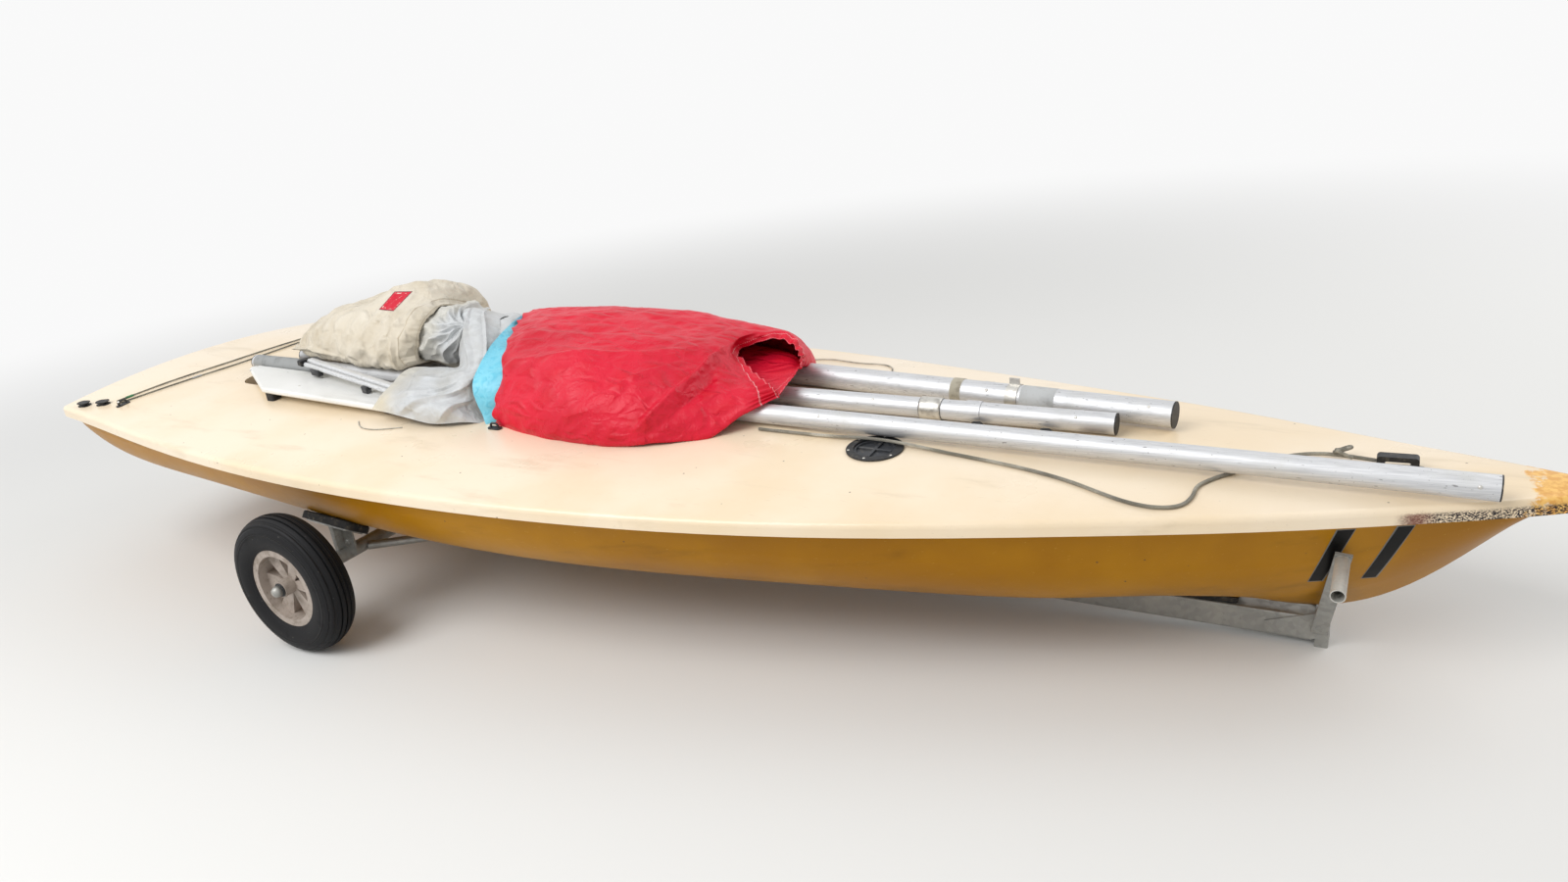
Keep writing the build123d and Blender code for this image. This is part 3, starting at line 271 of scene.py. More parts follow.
# The nylon bag's drawstring is a thin pale cord. One end lies in a loose loop on the port
# side deck and goes to the lower mast, the other is short.
BAG_CORD_DIAMETER = 0.004
BAG_CORD_LOOP = [
    (0.2060, 0.3740, 0.4816), (0.2060, 0.4240, 0.4774), (0.2360, 0.4700, 0.4715),
    (0.2900, 0.4880, 0.4668), (0.3440, 0.4740, 0.4653), (0.3960, 0.4640, 0.4634),
    (0.4460, 0.4780, 0.4591), (0.4940, 0.4600, 0.4583), (0.5200, 0.4120, 0.4618),
    (0.5300, 0.3580, 0.4662), (0.5360, 0.3040, 0.4702), (0.5400, 0.2540, 0.4733)]
BAG_CORD_END = [
    (0.3320, 0.3460, 0.4775), (0.3580, 0.3240, 0.4778), (0.3800, 0.2980, 0.4786),
    (0.3960, 0.2700, 0.4796)]
bag_rope = braid("bag_rope", rgb(226, 222, 210), rgb(198, 192, 176), 0.58, BAG_CORD_DIAMETER)
cord_piece("bag_drawstring_loop", BAG_CORD_LOOP, BAG_CORD_DIAMETER, bag_rope, "rope_pale",
           replaces="bag_cord_loop")
cord_piece("bag_drawstring_end", BAG_CORD_END, BAG_CORD_DIAMETER, bag_rope, "rope_pale",
           replaces="bag_cord_end")

# A thin string comes out from under the sail and lies in a small arc on the side deck.
SAIL_STRING_DIAMETER = 0.003
SAIL_STRING = [
    (-0.8200, -0.3720, 0.5257), (-0.7920, -0.3980, 0.5228), (-0.7500, -0.4100, 0.5202),
    (-0.7080, -0.4040, 0.5188), (-0.6720, -0.3900, 0.5183), (-0.6400, -0.3740, 0.5181)]
cord_piece("sail_thin_string", SAIL_STRING, SAIL_STRING_DIAMETER, bag_rope, "rope_pale",
           replaces="sail_string")

# The traveller is a loop of thin grey line, pulled tight across the after deck through a
# fairlead at each corner. Its two runs are pieces of their own.
TRAVELLER_DIAMETER = 0.005
TRAVELLER_PARTS = [
    [(-1.8980, -0.4460, 0.5692), (-1.8760, -0.3200, 0.5791), (-1.8500, -0.2000, 0.5848),
     (-1.8260, -0.0800, 0.5873), (-1.8220, 0.0400, 0.5876), (-1.8240, 0.1600, 0.5851),
     (-1.8320, 0.2900, 0.5790), (-1.8440, 0.4200, 0.5692)],
    [(-1.8720, -0.4620, 0.5664), (-1.8320, -0.3400, 0.5755), (-1.8000, -0.2200, 0.5813),
     (-1.7720, -0.1000, 0.5841), (-1.7680, 0.0300, 0.5849), (-1.7800, 0.1600, 0.5828),
     (-1.8040, 0.2900, 0.5776), (-1.8340, 0.4180, 0.5689)]]
line_rope = braid("traveller_rope", rgb(150, 146, 132), rgb(118, 114, 102), 0.9, TRAVELLER_DIAMETER)
for i, route in enumerate(TRAVELLER_PARTS):
    mesh, _ = rope_along(f"traveller_part_{i + 1}", route, TRAVELLER_DIAMETER)
    add_piece(f"traveller_part_{i + 1}", mesh, line_rope)
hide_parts("traveller_line")

# Hull and deck are two glass laminate mouldings with a glossy gelcoat, mustard yellow below
# and cream above, glued along the rolled gunwale. Years of use left stains, pinholes and
# scuffs, and the bow's tip is worn through to an orange layer.
def dress(material, *names):
    """Give CAD nodes their finish."""
    for name in names:
        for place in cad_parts[name].material_slots:
            place.material = material


def gelcoat(name, colour, stain, grime, rough):
    """Glossy gelcoat: broad uneven fading, faint smears, pinholes and fine scratches."""
    made, shade = new_material(name)
    place = shade.coordinates()
    x, y, z = shade.parts(place)
    tone = shade.blend(shade.patches(place, 1.6, 0.42, 0.68, 5.0), colour, stain)
    smear = shade.cloud(shade.stretched(place, (1.2, 5.0, 5.0), (0.0, 0.0, 0.4)), 2.2, 6.0, 0.6)
    tone = shade.blend(shade.between(smear, 0.55, 0.75) * 0.45, tone, grime)
    pits = shade.node("TexVoronoi", inputs={"Vector": place, "Scale": 26.0})
    few = shade.patches(place, 9.0, 0.56, 0.62, 1.0)
    spots = shade.between(pits, 0.075, 0.045) * few
    tone = shade.blend(spots * 0.8, tone, rgb(70, 62, 50))
    scratch = shade.cloud(shade.stretched(place, (4.0, 60.0, 60.0), (0.0, 0.0, 0.25)), 6.0, 2.0)
    lines = shade.between(scratch, 0.70, 0.74)
    dull = shade.cloud(place, 5.0, 4.0) * 0.16 + rough
    relief = shade.bump(shade.cloud(place, 55.0, 2.0), 0.0004, 0.35)
    return made, shade, (x, y, z), tone, lines, dull, relief


deck_gelcoat, shade, (x, y, z), tone, lines, dull, relief = gelcoat(
    "deck_gelcoat", rgb(243, 226, 200), rgb(236, 214, 180), rgb(196, 176, 142), 0.22)
place = shade.coordinates()
ragged = (shade.cloud(place, 26.0, 6.0, 0.7) - 0.5) * 0.16
worn_bow = shade.between(x + ragged, 2.024, 2.042)
speckle = shade.cloud(shade.stretched(place, (1.0, 1.0, 1.6)), 240.0, 3.0, 0.65)
along_bow = shade.between(x, 1.80, 1.84) * shade.between(x, 2.12, 2.08)
on_edge = shade.between(z + (speckle - 0.5) * 0.02, 0.404, 0.396) * shade.between(y, 0.0, -0.03)
scuffs = along_bow * on_edge * shade.between(speckle, 0.46, 0.52)
brown = along_bow * on_edge * shade.between(x, 1.88, 1.84) * 0.8
tone = shade.blend(lines * 0.25, tone, rgb(170, 150, 120))
tone = shade.blend(worn_bow, tone, shade.blend(
    shade.patches(place, 60.0, 0.4, 0.6, 4.0), rgb(240, 190, 104), rgb(220, 160, 78)))
tone = shade.blend(scuffs, tone, rgb(40, 32, 36))
tone = shade.blend(brown, tone, rgb(132, 82, 66))
shade.finish(Base_Color=tone, Roughness=dull + worn_bow * 0.3 + scuffs * 0.3, Normal=relief,
             Coat_Weight=0.15, Coat_Roughness=0.12)

hull_gelcoat, shade, (x, y, z), tone, lines, dull, relief = gelcoat(
    "hull_gelcoat", rgb(176, 122, 0), rgb(158, 106, 0), rgb(112, 78, 8), 0.26)
# The hull is darker in patches towards its bottom.
low = shade.between(z, 0.26, 0.16) * shade.patches(shade.coordinates(), 7.0, 0.4, 0.7, 5.0)
tone = shade.blend(lines * 0.3, tone, rgb(226, 190, 96))
tone = shade.blend(low * 0.35, tone, rgb(120, 88, 30))
shade.finish(Base_Color=tone, Roughness=dull, Normal=relief, Specular_IOR_Level=0.2)
dress(deck_gelcoat, "deck", "daggerboard_case", "mast_step")
dress(hull_gelcoat, "hull")


# Plain slanted bars of black film on both bows, each with a thin grey border.
def skin_of(*names):
    """The surfaces of CAD nodes, to lay things on."""
    trees = [BVHTree.FromObject(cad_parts[name], bpy.context.evaluated_depsgraph_get())
             for name in names]

    def cast(origin, way):
        hits = [tree.ray_cast(Vector(origin), Vector(way)) for tree in trees]
        hits = [hit for hit in hits if hit[0] is not None]
        return min(hits, key=lambda hit: hit[3])[:2] if hits else (None, None)
    return cast


def unit_grid(across, along):
    """A flat grid with its own UV map, and the u and v of each point, from 0 to 1."""
    bm = bmesh.new()
    bmesh.ops.create_grid(bm, x_segments=across, y_segments=along, size=0.5)
    sheet = bm.loops.layers.uv.new("UVMap")
    places = {vert: (vert.co.x + 0.5, vert.co.y + 0.5) for vert in bm.verts}
    for face in bm.faces:
        for loop in face.loops:
            loop[sheet].uv = places[loop.vert]
    return bm, places


def grid(name, across, along, place):
    """A grid of film or cloth whose points go where place(u, v) says."""
    bm, places = unit_grid(across, along)
    for vert, (u, v) in places.items():
        vert.co = place(u, v)
    return mesh_from(bm, name)


hull_skin = skin_of("hull")
BARS = [((1.7089, 1.7384), (1.6573, 1.6814)), ((1.8115, 1.8387), (1.7525, 1.7768))]
BAR_TOP, BAR_LOW = 0.3575, 0.2135


def bar_film(name, bar, side, grow, lift):
    """One bar, laid on the hull from the side."""
    (top_aft, top_fore), (low_aft, low_fore) = bar

    def place(u, v):
        aft, fore = low_aft + (top_aft - low_aft) * v, low_fore + (top_fore - low_fore) * v
        px = aft - grow + (fore - aft + 2 * grow) * u
        pz = BAR_LOW - grow + (BAR_TOP - BAR_LOW + 2 * grow) * v
        return hull_skin((px, side, pz), (0, -side, 0))[0] + Vector((0, side * lift, 0))
    return grid(name, 6, 24, place)


for colour, grow, lift, word in ((rgb(120, 120, 116), 0.0022, 0.0004, "border"),
                                 (rgb(8, 8, 9), 0.0, 0.0008, "bar")):
    film, shade = new_material("film_" + word)
    place = shade.coordinates()
    worn = shade.patches(place, 40.0, 0.5, 0.8, 4.0)
    shade.finish(Base_Color=shade.blend(worn * 0.2, colour, rgb(70, 68, 62)),
                 Roughness=worn * 0.2 + 0.45, Specular_IOR_Level=0.2)
    for side in (-1, 1):
        for i, bar in enumerate(BARS):
            name = f"bow_{word}_{i + 1}_" + ("starboard" if side < 0 else "port")
            mesh = bar_film(name, bar, side, grow, lift)
            add_piece(name, mesh, film)


# Deck fittings are black nylon mouldings held by stainless screws.
def moulded(name, colour, worn, rough=0.42):
    """Moulded plastic: fine grain, paler where it is rubbed, dust in the hollows."""
    made, shade = new_material(name)
    place = shade.coordinates()
    tone = shade.blend(shade.patches(place, 30.0, 0.5, 0.75, 4.0), colour, worn)
    dust = shade.patches(place, 90.0, 0.55, 0.75, 3.0)
    tone = shade.blend(dust * 0.25, tone, rgb(150, 140, 120))
    shade.finish(Base_Color=tone, Roughness=shade.cloud(place, 60.0) * 0.25 + rough,
                 Normal=shade.bump(shade.cloud(place, 900.0, 2.0), 0.0002, 0.6))
    return made


def steel(name, colour, dark, rough=0.28):
    """Stainless steel, drawn or pressed, with a few tea stains."""
    made, shade = new_material(name)
    place = shade.coordinates()
    tone = shade.blend(shade.patches(place, 45.0, 0.45, 0.75, 4.0), colour, dark)
    stain = shade.patches(place, 22.0, 0.62, 0.75, 5.0)
    tone = shade.blend(stain * 0.5, tone, rgb(120, 84, 52))
    shade.finish(Base_Color=tone, Metallic=0.9,
                 Roughness=shade.cloud(place, 120.0, 4.0) * 0.3 + rough,
                 Normal=shade.bump(shade.cloud(place, 300.0, 3.0), 0.0002, 0.5))
    return made


black_nylon = moulded("black_nylon", rgb(28, 28, 30), rgb(58, 58, 58))
grey_nylon = moulded("grey_nylon", rgb(56, 58, 62), rgb(84, 84, 84))
stainless = steel("stainless_steel", rgb(206, 204, 198), rgb(160, 156, 150))
dress(black_nylon, "bow_fairlead", "deck_cleat_eyes", "strap_eye", "traveller_fairleads",
      "traveller_blocks", "drain_plug", "inspection_port_ring", "upper_mast_plugs",
      "boom_plugs", "lower_mast_plugs", "tiller_joint", "blade_chock")
dress(grey_nylon, "inspection_port_lid")
dress(stainless, "rudder_gudgeons", "rudder_pintles", "mast_tang")

# Spars are drawn aluminium tubes, anodised silver, dulled and scratched along their length.
def anodised(name, axis_turn, colour, dark):
    """Anodised tube: lines along its length, scuffs, and small dark pits."""
    made, shade = new_material(name)
    place = shade.coordinates()
    drawn = shade.cloud(shade.stretched(place, (1.0, 40.0, 40.0), axis_turn), 12.0, 4.0)
    tone = shade.blend(shade.between(drawn, 0.35, 0.7), colour, dark)
    blotch = shade.patches(place, 6.0, 0.5, 0.72, 6.0, 0.65)
    tone = shade.blend(blotch * 0.5, tone, rgb(196, 196, 192))
    pits = shade.node("TexVoronoi", inputs={"Vector": place, "Scale": 60.0})
    spots = shade.between(pits, 0.10, 0.06) * shade.patches(place, 16.0, 0.5, 0.6)
    tone = shade.blend(spots * 0.7, tone, rgb(84, 82, 78))
    nick = shade.between(shade.cloud(shade.stretched(place, (1.0, 5.0, 5.0), (0, 0.6, 0.9)),
                                     42.0, 1.0), 0.72, 0.75)
    tone = shade.blend(nick * 0.6, tone, rgb(70, 68, 66))
    peppered = shade.patches(place, 230.0, 0.68, 0.73, 2.0) * shade.between(
        shade.cloud(place, 13.0, 3.0), 0.42, 0.58)
    tone = shade.blend(peppered * 0.7, tone, rgb(92, 90, 86))
    shade.finish(Base_Color=tone, Metallic=0.55, Roughness=drawn * 0.15 + blotch * 0.15 + 0.38,
                 Normal=shade.bump(drawn, 0.0002, 0.35))
    return made


spar_alloy = anodised("spar_alloy", (0.0, 0.0, -0.02), rgb(214, 215, 217), rgb(192, 193, 196))
dress(spar_alloy, "upper_mast", "boom", "lower_mast")
tiller_alloy = anodised("tiller_alloy", (0.0, 0.0, 0.42), rgb(228, 229, 230), rgb(200, 201, 203))
dress(tiller_alloy, "tiller", "tiller_extension")
dress(spar_alloy, "boom_eye_strap")

# The rudder blade is a white laminate foil with a black alloy head.
white_foil, shade, (x, y, z), tone, lines, dull, relief = gelcoat(
    "white_foil", rgb(238, 238, 236), rgb(226, 226, 222), rgb(186, 184, 176), 0.28)
tip = shade.between(shade.cloud(shade.coordinates(), 30.0, 5.0) * 0.06 + x, -1.585, -1.60)
tone = shade.blend(tip * 0.8, tone, rgb(126, 124, 120))
shade.finish(Base_Color=shade.blend(lines * 0.4, tone, rgb(150, 150, 150)),
             Roughness=dull + tip * 0.3, Normal=relief)
dress(white_foil, "rudder_blade")
head_alloy = moulded("black_coated_alloy", rgb(34, 34, 36), rgb(88, 88, 90), 0.35)
dress(head_alloy, "rudder_head")

# The launching trolley is welded from hot galvanised steel, dull and stained.
def galvanised(name, colour, dark):
    """Hot galvanised steel: large faint spangle, white bloom, brown stains."""
    made, shade = new_material(name)
    place = shade.coordinates()
    cells = shade.node("TexVoronoi", inputs={"Vector": place, "Scale": 85.0}, output="Color")
    grain, _, _ = shade.parts(cells)
    tone = shade.blend(grain * 0.5, colour, dark)
    bloom = shade.patches(place, 9.0, 0.48, 0.7, 6.0, 0.65)
    tone = shade.blend(bloom * 0.6, tone, rgb(176, 174, 166))
    rust = shade.patches(place, 15.0, 0.60, 0.72, 6.0, 0.7)
    tone = shade.blend(rust * 0.45, tone, rgb(110, 78, 50))
    shade.finish(Base_Color=tone, Metallic=0.55, Roughness=grain * 0.15 + bloom * 0.2 + 0.4,
                 Normal=shade.bump(shade.cloud(place, 160.0, 4.0), 0.0004, 0.5))
    return made


zinc = galvanised("galvanised_steel", rgb(160, 160, 156), rgb(128, 128, 124))
pale_zinc = galvanised("pale_zinc", rgb(206, 204, 198), rgb(176, 176, 170))
dress(pale_zinc, "push_grips")
dress(zinc, "trolley_beam", "front_post", "bow_arms", "axle", "cradle_brackets",
      "diagonal_braces")
pad_rubber = moulded("pad_rubber", rgb(30, 30, 30), rgb(66, 62, 56), 0.7)
dress(pad_rubber, "keel_pad", "cradle_pads")


# The tyres are smooth sided with thin ribs round the tread, on pale grey plastic rims that
# dirt has settled in. A zinc domed nut with a black washer holds each wheel.
def turned(name, profile, base, axis, material, steps=48, body="boat_and_trolley"):
    """A shape turned about an axis from pairs: how far along it, and how far out from it."""
    axis = Vector(axis).normalized()
    out = axis.orthogonal().normalized()
    bm = bmesh.new()
    verts = [bm.verts.new(Vector(base) + axis * a + out * r) for a, r in profile]
    edges = [bm.edges.new(pair) for pair in zip(verts, verts[1:])]
    bmesh.ops.spin(bm, geom=verts + edges, cent=Vector(base), axis=axis, angle=math.tau,
                   steps=steps, use_merge=True)
    bmesh.ops.remove_doubles(bm, verts=bm.verts, dist=0.00001)
    bmesh.ops.recalc_face_normals(bm, faces=bm.faces)
    return add_piece(name, mesh_from(bm, name), material, body, smooth=steps > 8)


WHEEL_X, WHEEL_Z = -0.775, 0.2
tyre_rubber, shade = new_material("tyre_rubber")
place = shade.coordinates()
x, y, z = shade.parts(place)
off_x, off_z = x - WHEEL_X, z - WHEEL_Z
reach = shade.maths("SQRT", off_x * off_x + off_z * off_z)
dust = shade.patches(place, 22.0, 0.52, 0.75, 6.0, 0.7)
tone = shade.blend(dust * 0.35, rgb(13, 13, 17), rgb(34, 33, 33))
specks = shade.patches(place, 150.0, 0.72, 0.76, 2.0)
tone = shade.blend(specks * 0.5, tone, rgb(120, 116, 108))
ridged = shade.between(reach, 0.156, 0.164)
ribs = shade.maths("ABSOLUTE", shade.maths(
    "SINE", shade.maths("ABSOLUTE", y) * 300.0 + reach * 300.0))
# Painted shade: the grooves between the tread's ribs are darkened.
tone = shade.blend(ridged * shade.between(ribs, 0.25, 0.05) * 0.6, tone, rgb(8, 8, 9))
rings = shade.between(shade.maths("SINE", reach * 900.0), 0.85, 1.0) * shade.between(
    reach, 0.13, 0.12)
shade.finish(Base_Color=tone, Roughness=dust * 0.2 + 0.6, Specular_IOR_Level=0.3,
             Normal=shade.bump(shade.between(ribs, 0.1, 0.5) * ridged, 0.003, 1.0,
                               shade.bump(rings, 0.001, 0.5)))
dress(tyre_rubber, "tyre_starboard", "tyre_port")
rim_plastic, shade = new_material("rim_plastic")
place = shade.coordinates()
grime = shade.patches(place, 24.0, 0.44, 0.66, 6.0, 0.7)
tone = shade.blend(grime * 0.7, rgb(168, 156, 146), rgb(126, 114, 102))
tone = shade.blend(shade.patches(place, 110.0, 0.6, 0.7, 3.0) * 0.5, tone,
                   rgb(92, 80, 68))
tone = shade.blend(shade.patches(place, 9.0, 0.55, 0.7) * 0.3, tone,
                   rgb(206, 178, 168))
shade.finish(Base_Color=tone, Roughness=grime * 0.2 + 0.5,
             Normal=shade.bump(shade.cloud(place, 420.0, 3.0), 0.0003, 0.6))
dress(rim_plastic, "rim_starboard", "rim_port")
for side, word in ((-1, "starboard"), (1, "port")):
    turned("wheel_washer_" + word, [(0.0, 0.0), (0.0, 0.0190), (0.0020, 0.0196), (0.0038, 0.0180),
                                    (0.0040, 0.0)],
           (WHEEL_X, side * 0.7845, WHEEL_Z), (0, side, 0), black_nylon,
           body="wheel_" + word)
    turned("axle_nut_" + word, [(0.0, 0.0), (0.0, 0.0150), (0.0080, 0.0152), (0.0120, 0.0140),
                                (0.0175, 0.0105), (0.0205, 0.0055), (0.0215, 0.0)],
           (WHEEL_X, side * 0.7890, WHEEL_Z), (0, side, 0), zinc)

# Bands and small fixings on the spars: grey tape, a collar with a rivet, a whipping of thin
# twine, screws. Each is laid round its own tube.
SPARS = {
    "upper_mast": (Vector((1.971, -0.124, 0.446)), Vector((-1.629, -0.092, 0.5991)), 0.0254),
    "boom": (Vector((1.237, 0.042, 0.4727)), Vector((-1.503, 0.004, 0.5965)), 0.0254),
    "lower_mast": (Vector((1.352, 0.113, 0.4742)), Vector((-1.513, 0.376, 0.5901)), 0.03175)}


def on_spar(name, x, round_it=0.0, lift=0.0):
    """A place on a spar's skin at an x, turned about it from its top, and the way outwards."""
    fore, aft, radius = SPARS[name]
    way = (aft - fore).normalized()
    centre = fore + (aft - fore) * ((fore.x - x) / (fore.x - aft.x))
    up = (Vector((0, 0, 1)) - way * way.z).normalized()
    out = Matrix.Rotation(round_it, 3, way) @ up
    return centre, way, out, centre + out * (radius + lift)


def wrap(name, spar, x_fore, x_aft, profile, material):
    """A band round a spar; the profile's heights are above the tube's skin."""
    fore, way, _, _ = on_spar(spar, x_fore)
    length = (on_spar(spar, x_aft)[0] - fore).length
    radius = SPARS[spar][2]
    return turned(name, [(a * length, radius + r) for a, r in profile], fore, way, material)


FLAT_BAND = [(0.0, 0.0001), (0.004, 0.0006), (0.5, 0.0007), (0.996, 0.0006), (1.0, 0.0001)]
tape_grey = moulded("tape_grey", rgb(150, 152, 152), rgb(118, 120, 118), 0.55)
tape_white = moulded("tape_white", rgb(186, 188, 188), rgb(150, 150, 150), 0.5)
tape_black = moulded("tape_black", rgb(24, 24, 26), rgb(60, 60, 58), 0.5)
twine = moulded("twine", rgb(196, 190, 174), rgb(160, 152, 136), 0.75)
tape_green = moulded("tape_green", rgb(60, 122, 84), rgb(40, 86, 60), 0.55)
wrap("mast_tape", "upper_mast", -1.318, -1.618, FLAT_BAND, tape_grey)
wrap("boom_collar", "boom", 0.819, 0.764, [(0.0, 0.0001), (0.0, 0.0022), (0.08, 0.0026), (
    0.92, 0.0026), (1.0, 0.0022), (1.0, 0.0001)], stainless)
for i, (fore, aft) in enumerate(((0.8205, 0.8190), (0.7640, 0.7625))):
    wrap(f"boom_collar_edge_{i + 1}", "boom", fore, aft, [(0.0, 0.0001), (0.2, 0.0012), (
        0.8, 0.0012), (1.0, 0.0001)], tape_black)
wrap("lower_mast_tape", "lower_mast", 1.076, 0.989, FLAT_BAND, tape_white)
TWINE_TURNS, STEPS_A_TURN = 14, 6
wrap("lower_mast_whipping", "lower_mast", 0.831, 0.802, [
    (i / (TWINE_TURNS * STEPS_A_TURN), 0.0001 + 0.0017 * abs(math.sin(math.pi * i / STEPS_A_TURN)))
    for i in range(TWINE_TURNS * STEPS_A_TURN + 1)], twine)
for i, (spar, x, turn, size) in enumerate((
        ("boom", 0.781, 1.05, 0.0044), ("boom", 1.150, 0.9, 0.0036), ("boom", 0.640, 0.8, 0.0036),
        ("upper_mast", 1.938, 1.25, 0.0042), ("upper_mast", 0.560, 0.9, 0.0036),
        ("lower_mast", 0.902, 0.9, 0.0042), ("lower_mast", 1.300, 0.8, 0.0036))):
    for way in (turn, -turn):
        _, _, out, skin = on_spar(spar, x, way, -0.0006)
        turned(f"rivet_{i + 1}_" + ("starboard" if way > 0 else "port"), [
            (0.0, size), (0.0010, size * 0.95), (0.0019, size * 0.6), (0.0023, 0.0)],
               skin, out, stainless, 20)
hook_route = [on_spar("lower_mast", 0.905 - 0.036 * t, 0.9 + 0.25 * math.sin(t * 3.1), lift)[3]
              for t, lift in ((0.0, 0.001), (0.12, 0.007), (0.4, 0.010), (0.7, 0.010),
                              (0.9, 0.006), (1.0, 0.001))]
hook_mesh, _ = rope_along("lower_mast_hook", hook_route, 0.004)
add_piece("lower_mast_hook", hook_mesh, stainless)

# Small steering fixings: two black clips lie under the tiller extension, and stainless screws
# sit in the rudder blade.
def rounded_block(name, centre, size, along, material, edge=0.003):
    """A small moulded block with rounded edges, its length along a level direction."""
    bm = bmesh.new()
    bmesh.ops.create_cube(bm, size=1.0)
    way = Vector((along[0], along[1], 0)).normalized()
    turn = Matrix((way, Vector((-way.y, way.x, 0)), Vector((0, 0, 1)))).transposed()
    for vert in bm.verts:
        share = Vector([c * s for c, s in zip(vert.co, size)])
        if vert.co.z < 0:
            share.x *= 0.82
        vert.co = Vector(centre) + turn @ share
    bmesh.ops.bevel(bm, geom=bm.edges, offset=edge, segments=3, profile=0.5, affect="EDGES",
                    material=-1)
    return add_piece(name, mesh_from(bm, name), material)


for i, (centre, length) in enumerate((((-1.224, -0.170, 0.598), 0.062),
                                      ((-0.912, -0.246, 0.5775), 0.036))):
    rounded_block(f"extension_clip_{i + 1}", centre, (length, 0.018, 0.021), (0.972, -0.235),
                  head_alloy)


def fixing(name, nodes, origin, way, profile, material=stainless, steps=20):
    """A screw or bolt where a line from the origin meets the skin of CAD nodes."""
    skin, out = skin_of(*nodes)(origin, way)
    if skin:
        turned(name, profile, skin, out, material, steps)


HIGH_UP, DOWN = 2.0, (0, 0, -1)
BLADE_SCREW = [(-0.0004, 0.0042), (0.0006, 0.0040), (0.0012, 0.0026), (0.0010, 0.0)]
for i, (x, y) in enumerate(((-1.560, -0.172), (-1.568, -0.140), (-1.200, -0.262))):
    fixing(f"blade_screw_{i + 1}", ["rudder_blade"], (x, y, HIGH_UP), DOWN, BLADE_SCREW)

# Fixings on the deck and the trolley: tape on the traveller's line, screws in the fairleads
# and round the inspection port, and zinc bolts on the cradle's brackets.
turned("traveller_green_tape", [(0.0, 0.0026), (0.002, 0.0036), (0.024, 0.0037), (0.027, 0.0026)],
       (-1.8925, -0.420, 0.5712), (0.171, 0.984, 0.077), tape_green, 24)
turned("traveller_tape", [(0.0, 0.0026), (0.002, 0.0034), (0.030, 0.0035), (0.033, 0.0026)],
       (-1.803, -0.231, 0.5806), (0.216, 0.975, 0.035), tape_grey, 24)
FAIRLEAD_SCREW = [(-0.0005, 0.0034), (0.0008, 0.0034), (0.0016, 0.00204), (0.0014, 0.0)]
for i, side in enumerate((-1, 1)):
    fixing(f"fairlead_screw_{i + 1}", ["traveller_fairleads"], (-1.848, side * 0.469, HIGH_UP),
           DOWN, FAIRLEAD_SCREW)
BOW_SCREW = [(-0.0005, 0.0040), (0.0006, 0.0040), (0.0014, 0.0024), (0.0012, 0.0)]
for i, x in enumerate((1.757, 1.849)):
    fixing(f"bow_screw_{i + 1}", ["bow_fairlead"], (x, 0.0, HIGH_UP), DOWN, BOW_SCREW)
PORT_X, PORT_Y, PORT_SCREW_CIRCLE, PORT_SCREWS = 0.7285, -0.1795, 0.0625, 6
PORT_SCREW = [(-0.0005, 0.0032), (0.0005, 0.0031), (0.0010, 0.0018), (0.0008, 0.0)]
for i in range(PORT_SCREWS):
    turn = math.tau * (i + 0.5) / PORT_SCREWS
    fixing(f"port_screw_{i + 1}", ["inspection_port_ring"],
           (PORT_X + PORT_SCREW_CIRCLE * math.cos(turn),
            PORT_Y + PORT_SCREW_CIRCLE * math.sin(turn), HIGH_UP), DOWN, PORT_SCREW, steps=16)
BRACKET_BOLT = [(-0.001, 0.0095), (0.005, 0.0095), (0.0062, 0.0080), (0.0062, 0.0048),
                (0.0090, 0.0046), (0.0096, 0.0)]
for side, word in ((-1, "starboard"), (1, "port")):
    for i, x in enumerate((-0.800, -0.752)):
        fixing(f"bracket_bolt_{i + 1}_{word}", ["cradle_brackets", "axle"],
               (x, side * 0.7, 0.238), (0, -side, 0), BRACKET_BOLT, zinc, 6)

# The foils are wrapped in a long bag of thin red nylon, laid over the spars. Its mouth at the
# front is gathered on a drawstring in a sewn channel, and its after hem is elastic.
def slanted(x, turn, points):
    """A cross section's points, from y and z in a plane turned about the vertical."""
    c, n = math.cos(math.radians(turn)), math.sin(math.radians(turn))
    return [Vector((x + dx - n * y, c * y, z)) for y, z, dx in (
        (*point, 0.0)[:3] for point in points)]


def row(*points):
    """A row of cloth given point by point."""
    return [Vector(point) for point in points]


def on_spline(points, t, closed):
    """A place on a smooth line through points, t going from 0 to 1."""
    count = len(points)
    t = t * (count if closed else count - 1)
    i = min(int(t), count - (1 if closed else 2))
    t -= i
    if closed:
        a, b, c, d = (points[(i + k) % count] for k in (-1, 0, 1, 2))
    else:
        a, b, c, d = (points[max(0, min(count - 1, i + k))] for k in (-1, 0, 1, 2))
    return 0.5 * (2 * b + (c - a) * t + (2 * a - 5 * b + 4 * c - d) * t * t
                  + (3 * b - 3 * c + d - a) * t * t * t)


WELD = 0.0004


def cloth_skin(name, rows, across, along, closed, fold, hem=None):
    """Cloth through rows of points, with folds pushed out along its normals."""
    bm, places = unit_grid(across, along)
    bmesh.ops.reverse_faces(bm, faces=bm.faces)
    for vert, (u, v) in places.items():
        vert.co = on_spline([on_spline(row, u, closed) for row in rows], v, False)
        if hem:
            vert.co += hem(u, v)
    bm.normal_update()
    pushes = {vert: vert.normal * fold(u, v, vert.co) for vert, (u, v) in places.items()}
    for vert, push in pushes.items():
        vert.co += push
    if closed:
        bmesh.ops.remove_doubles(bm, verts=bm.verts, dist=WELD)
    bm.normal_update()
    return mesh_from(bm, name)


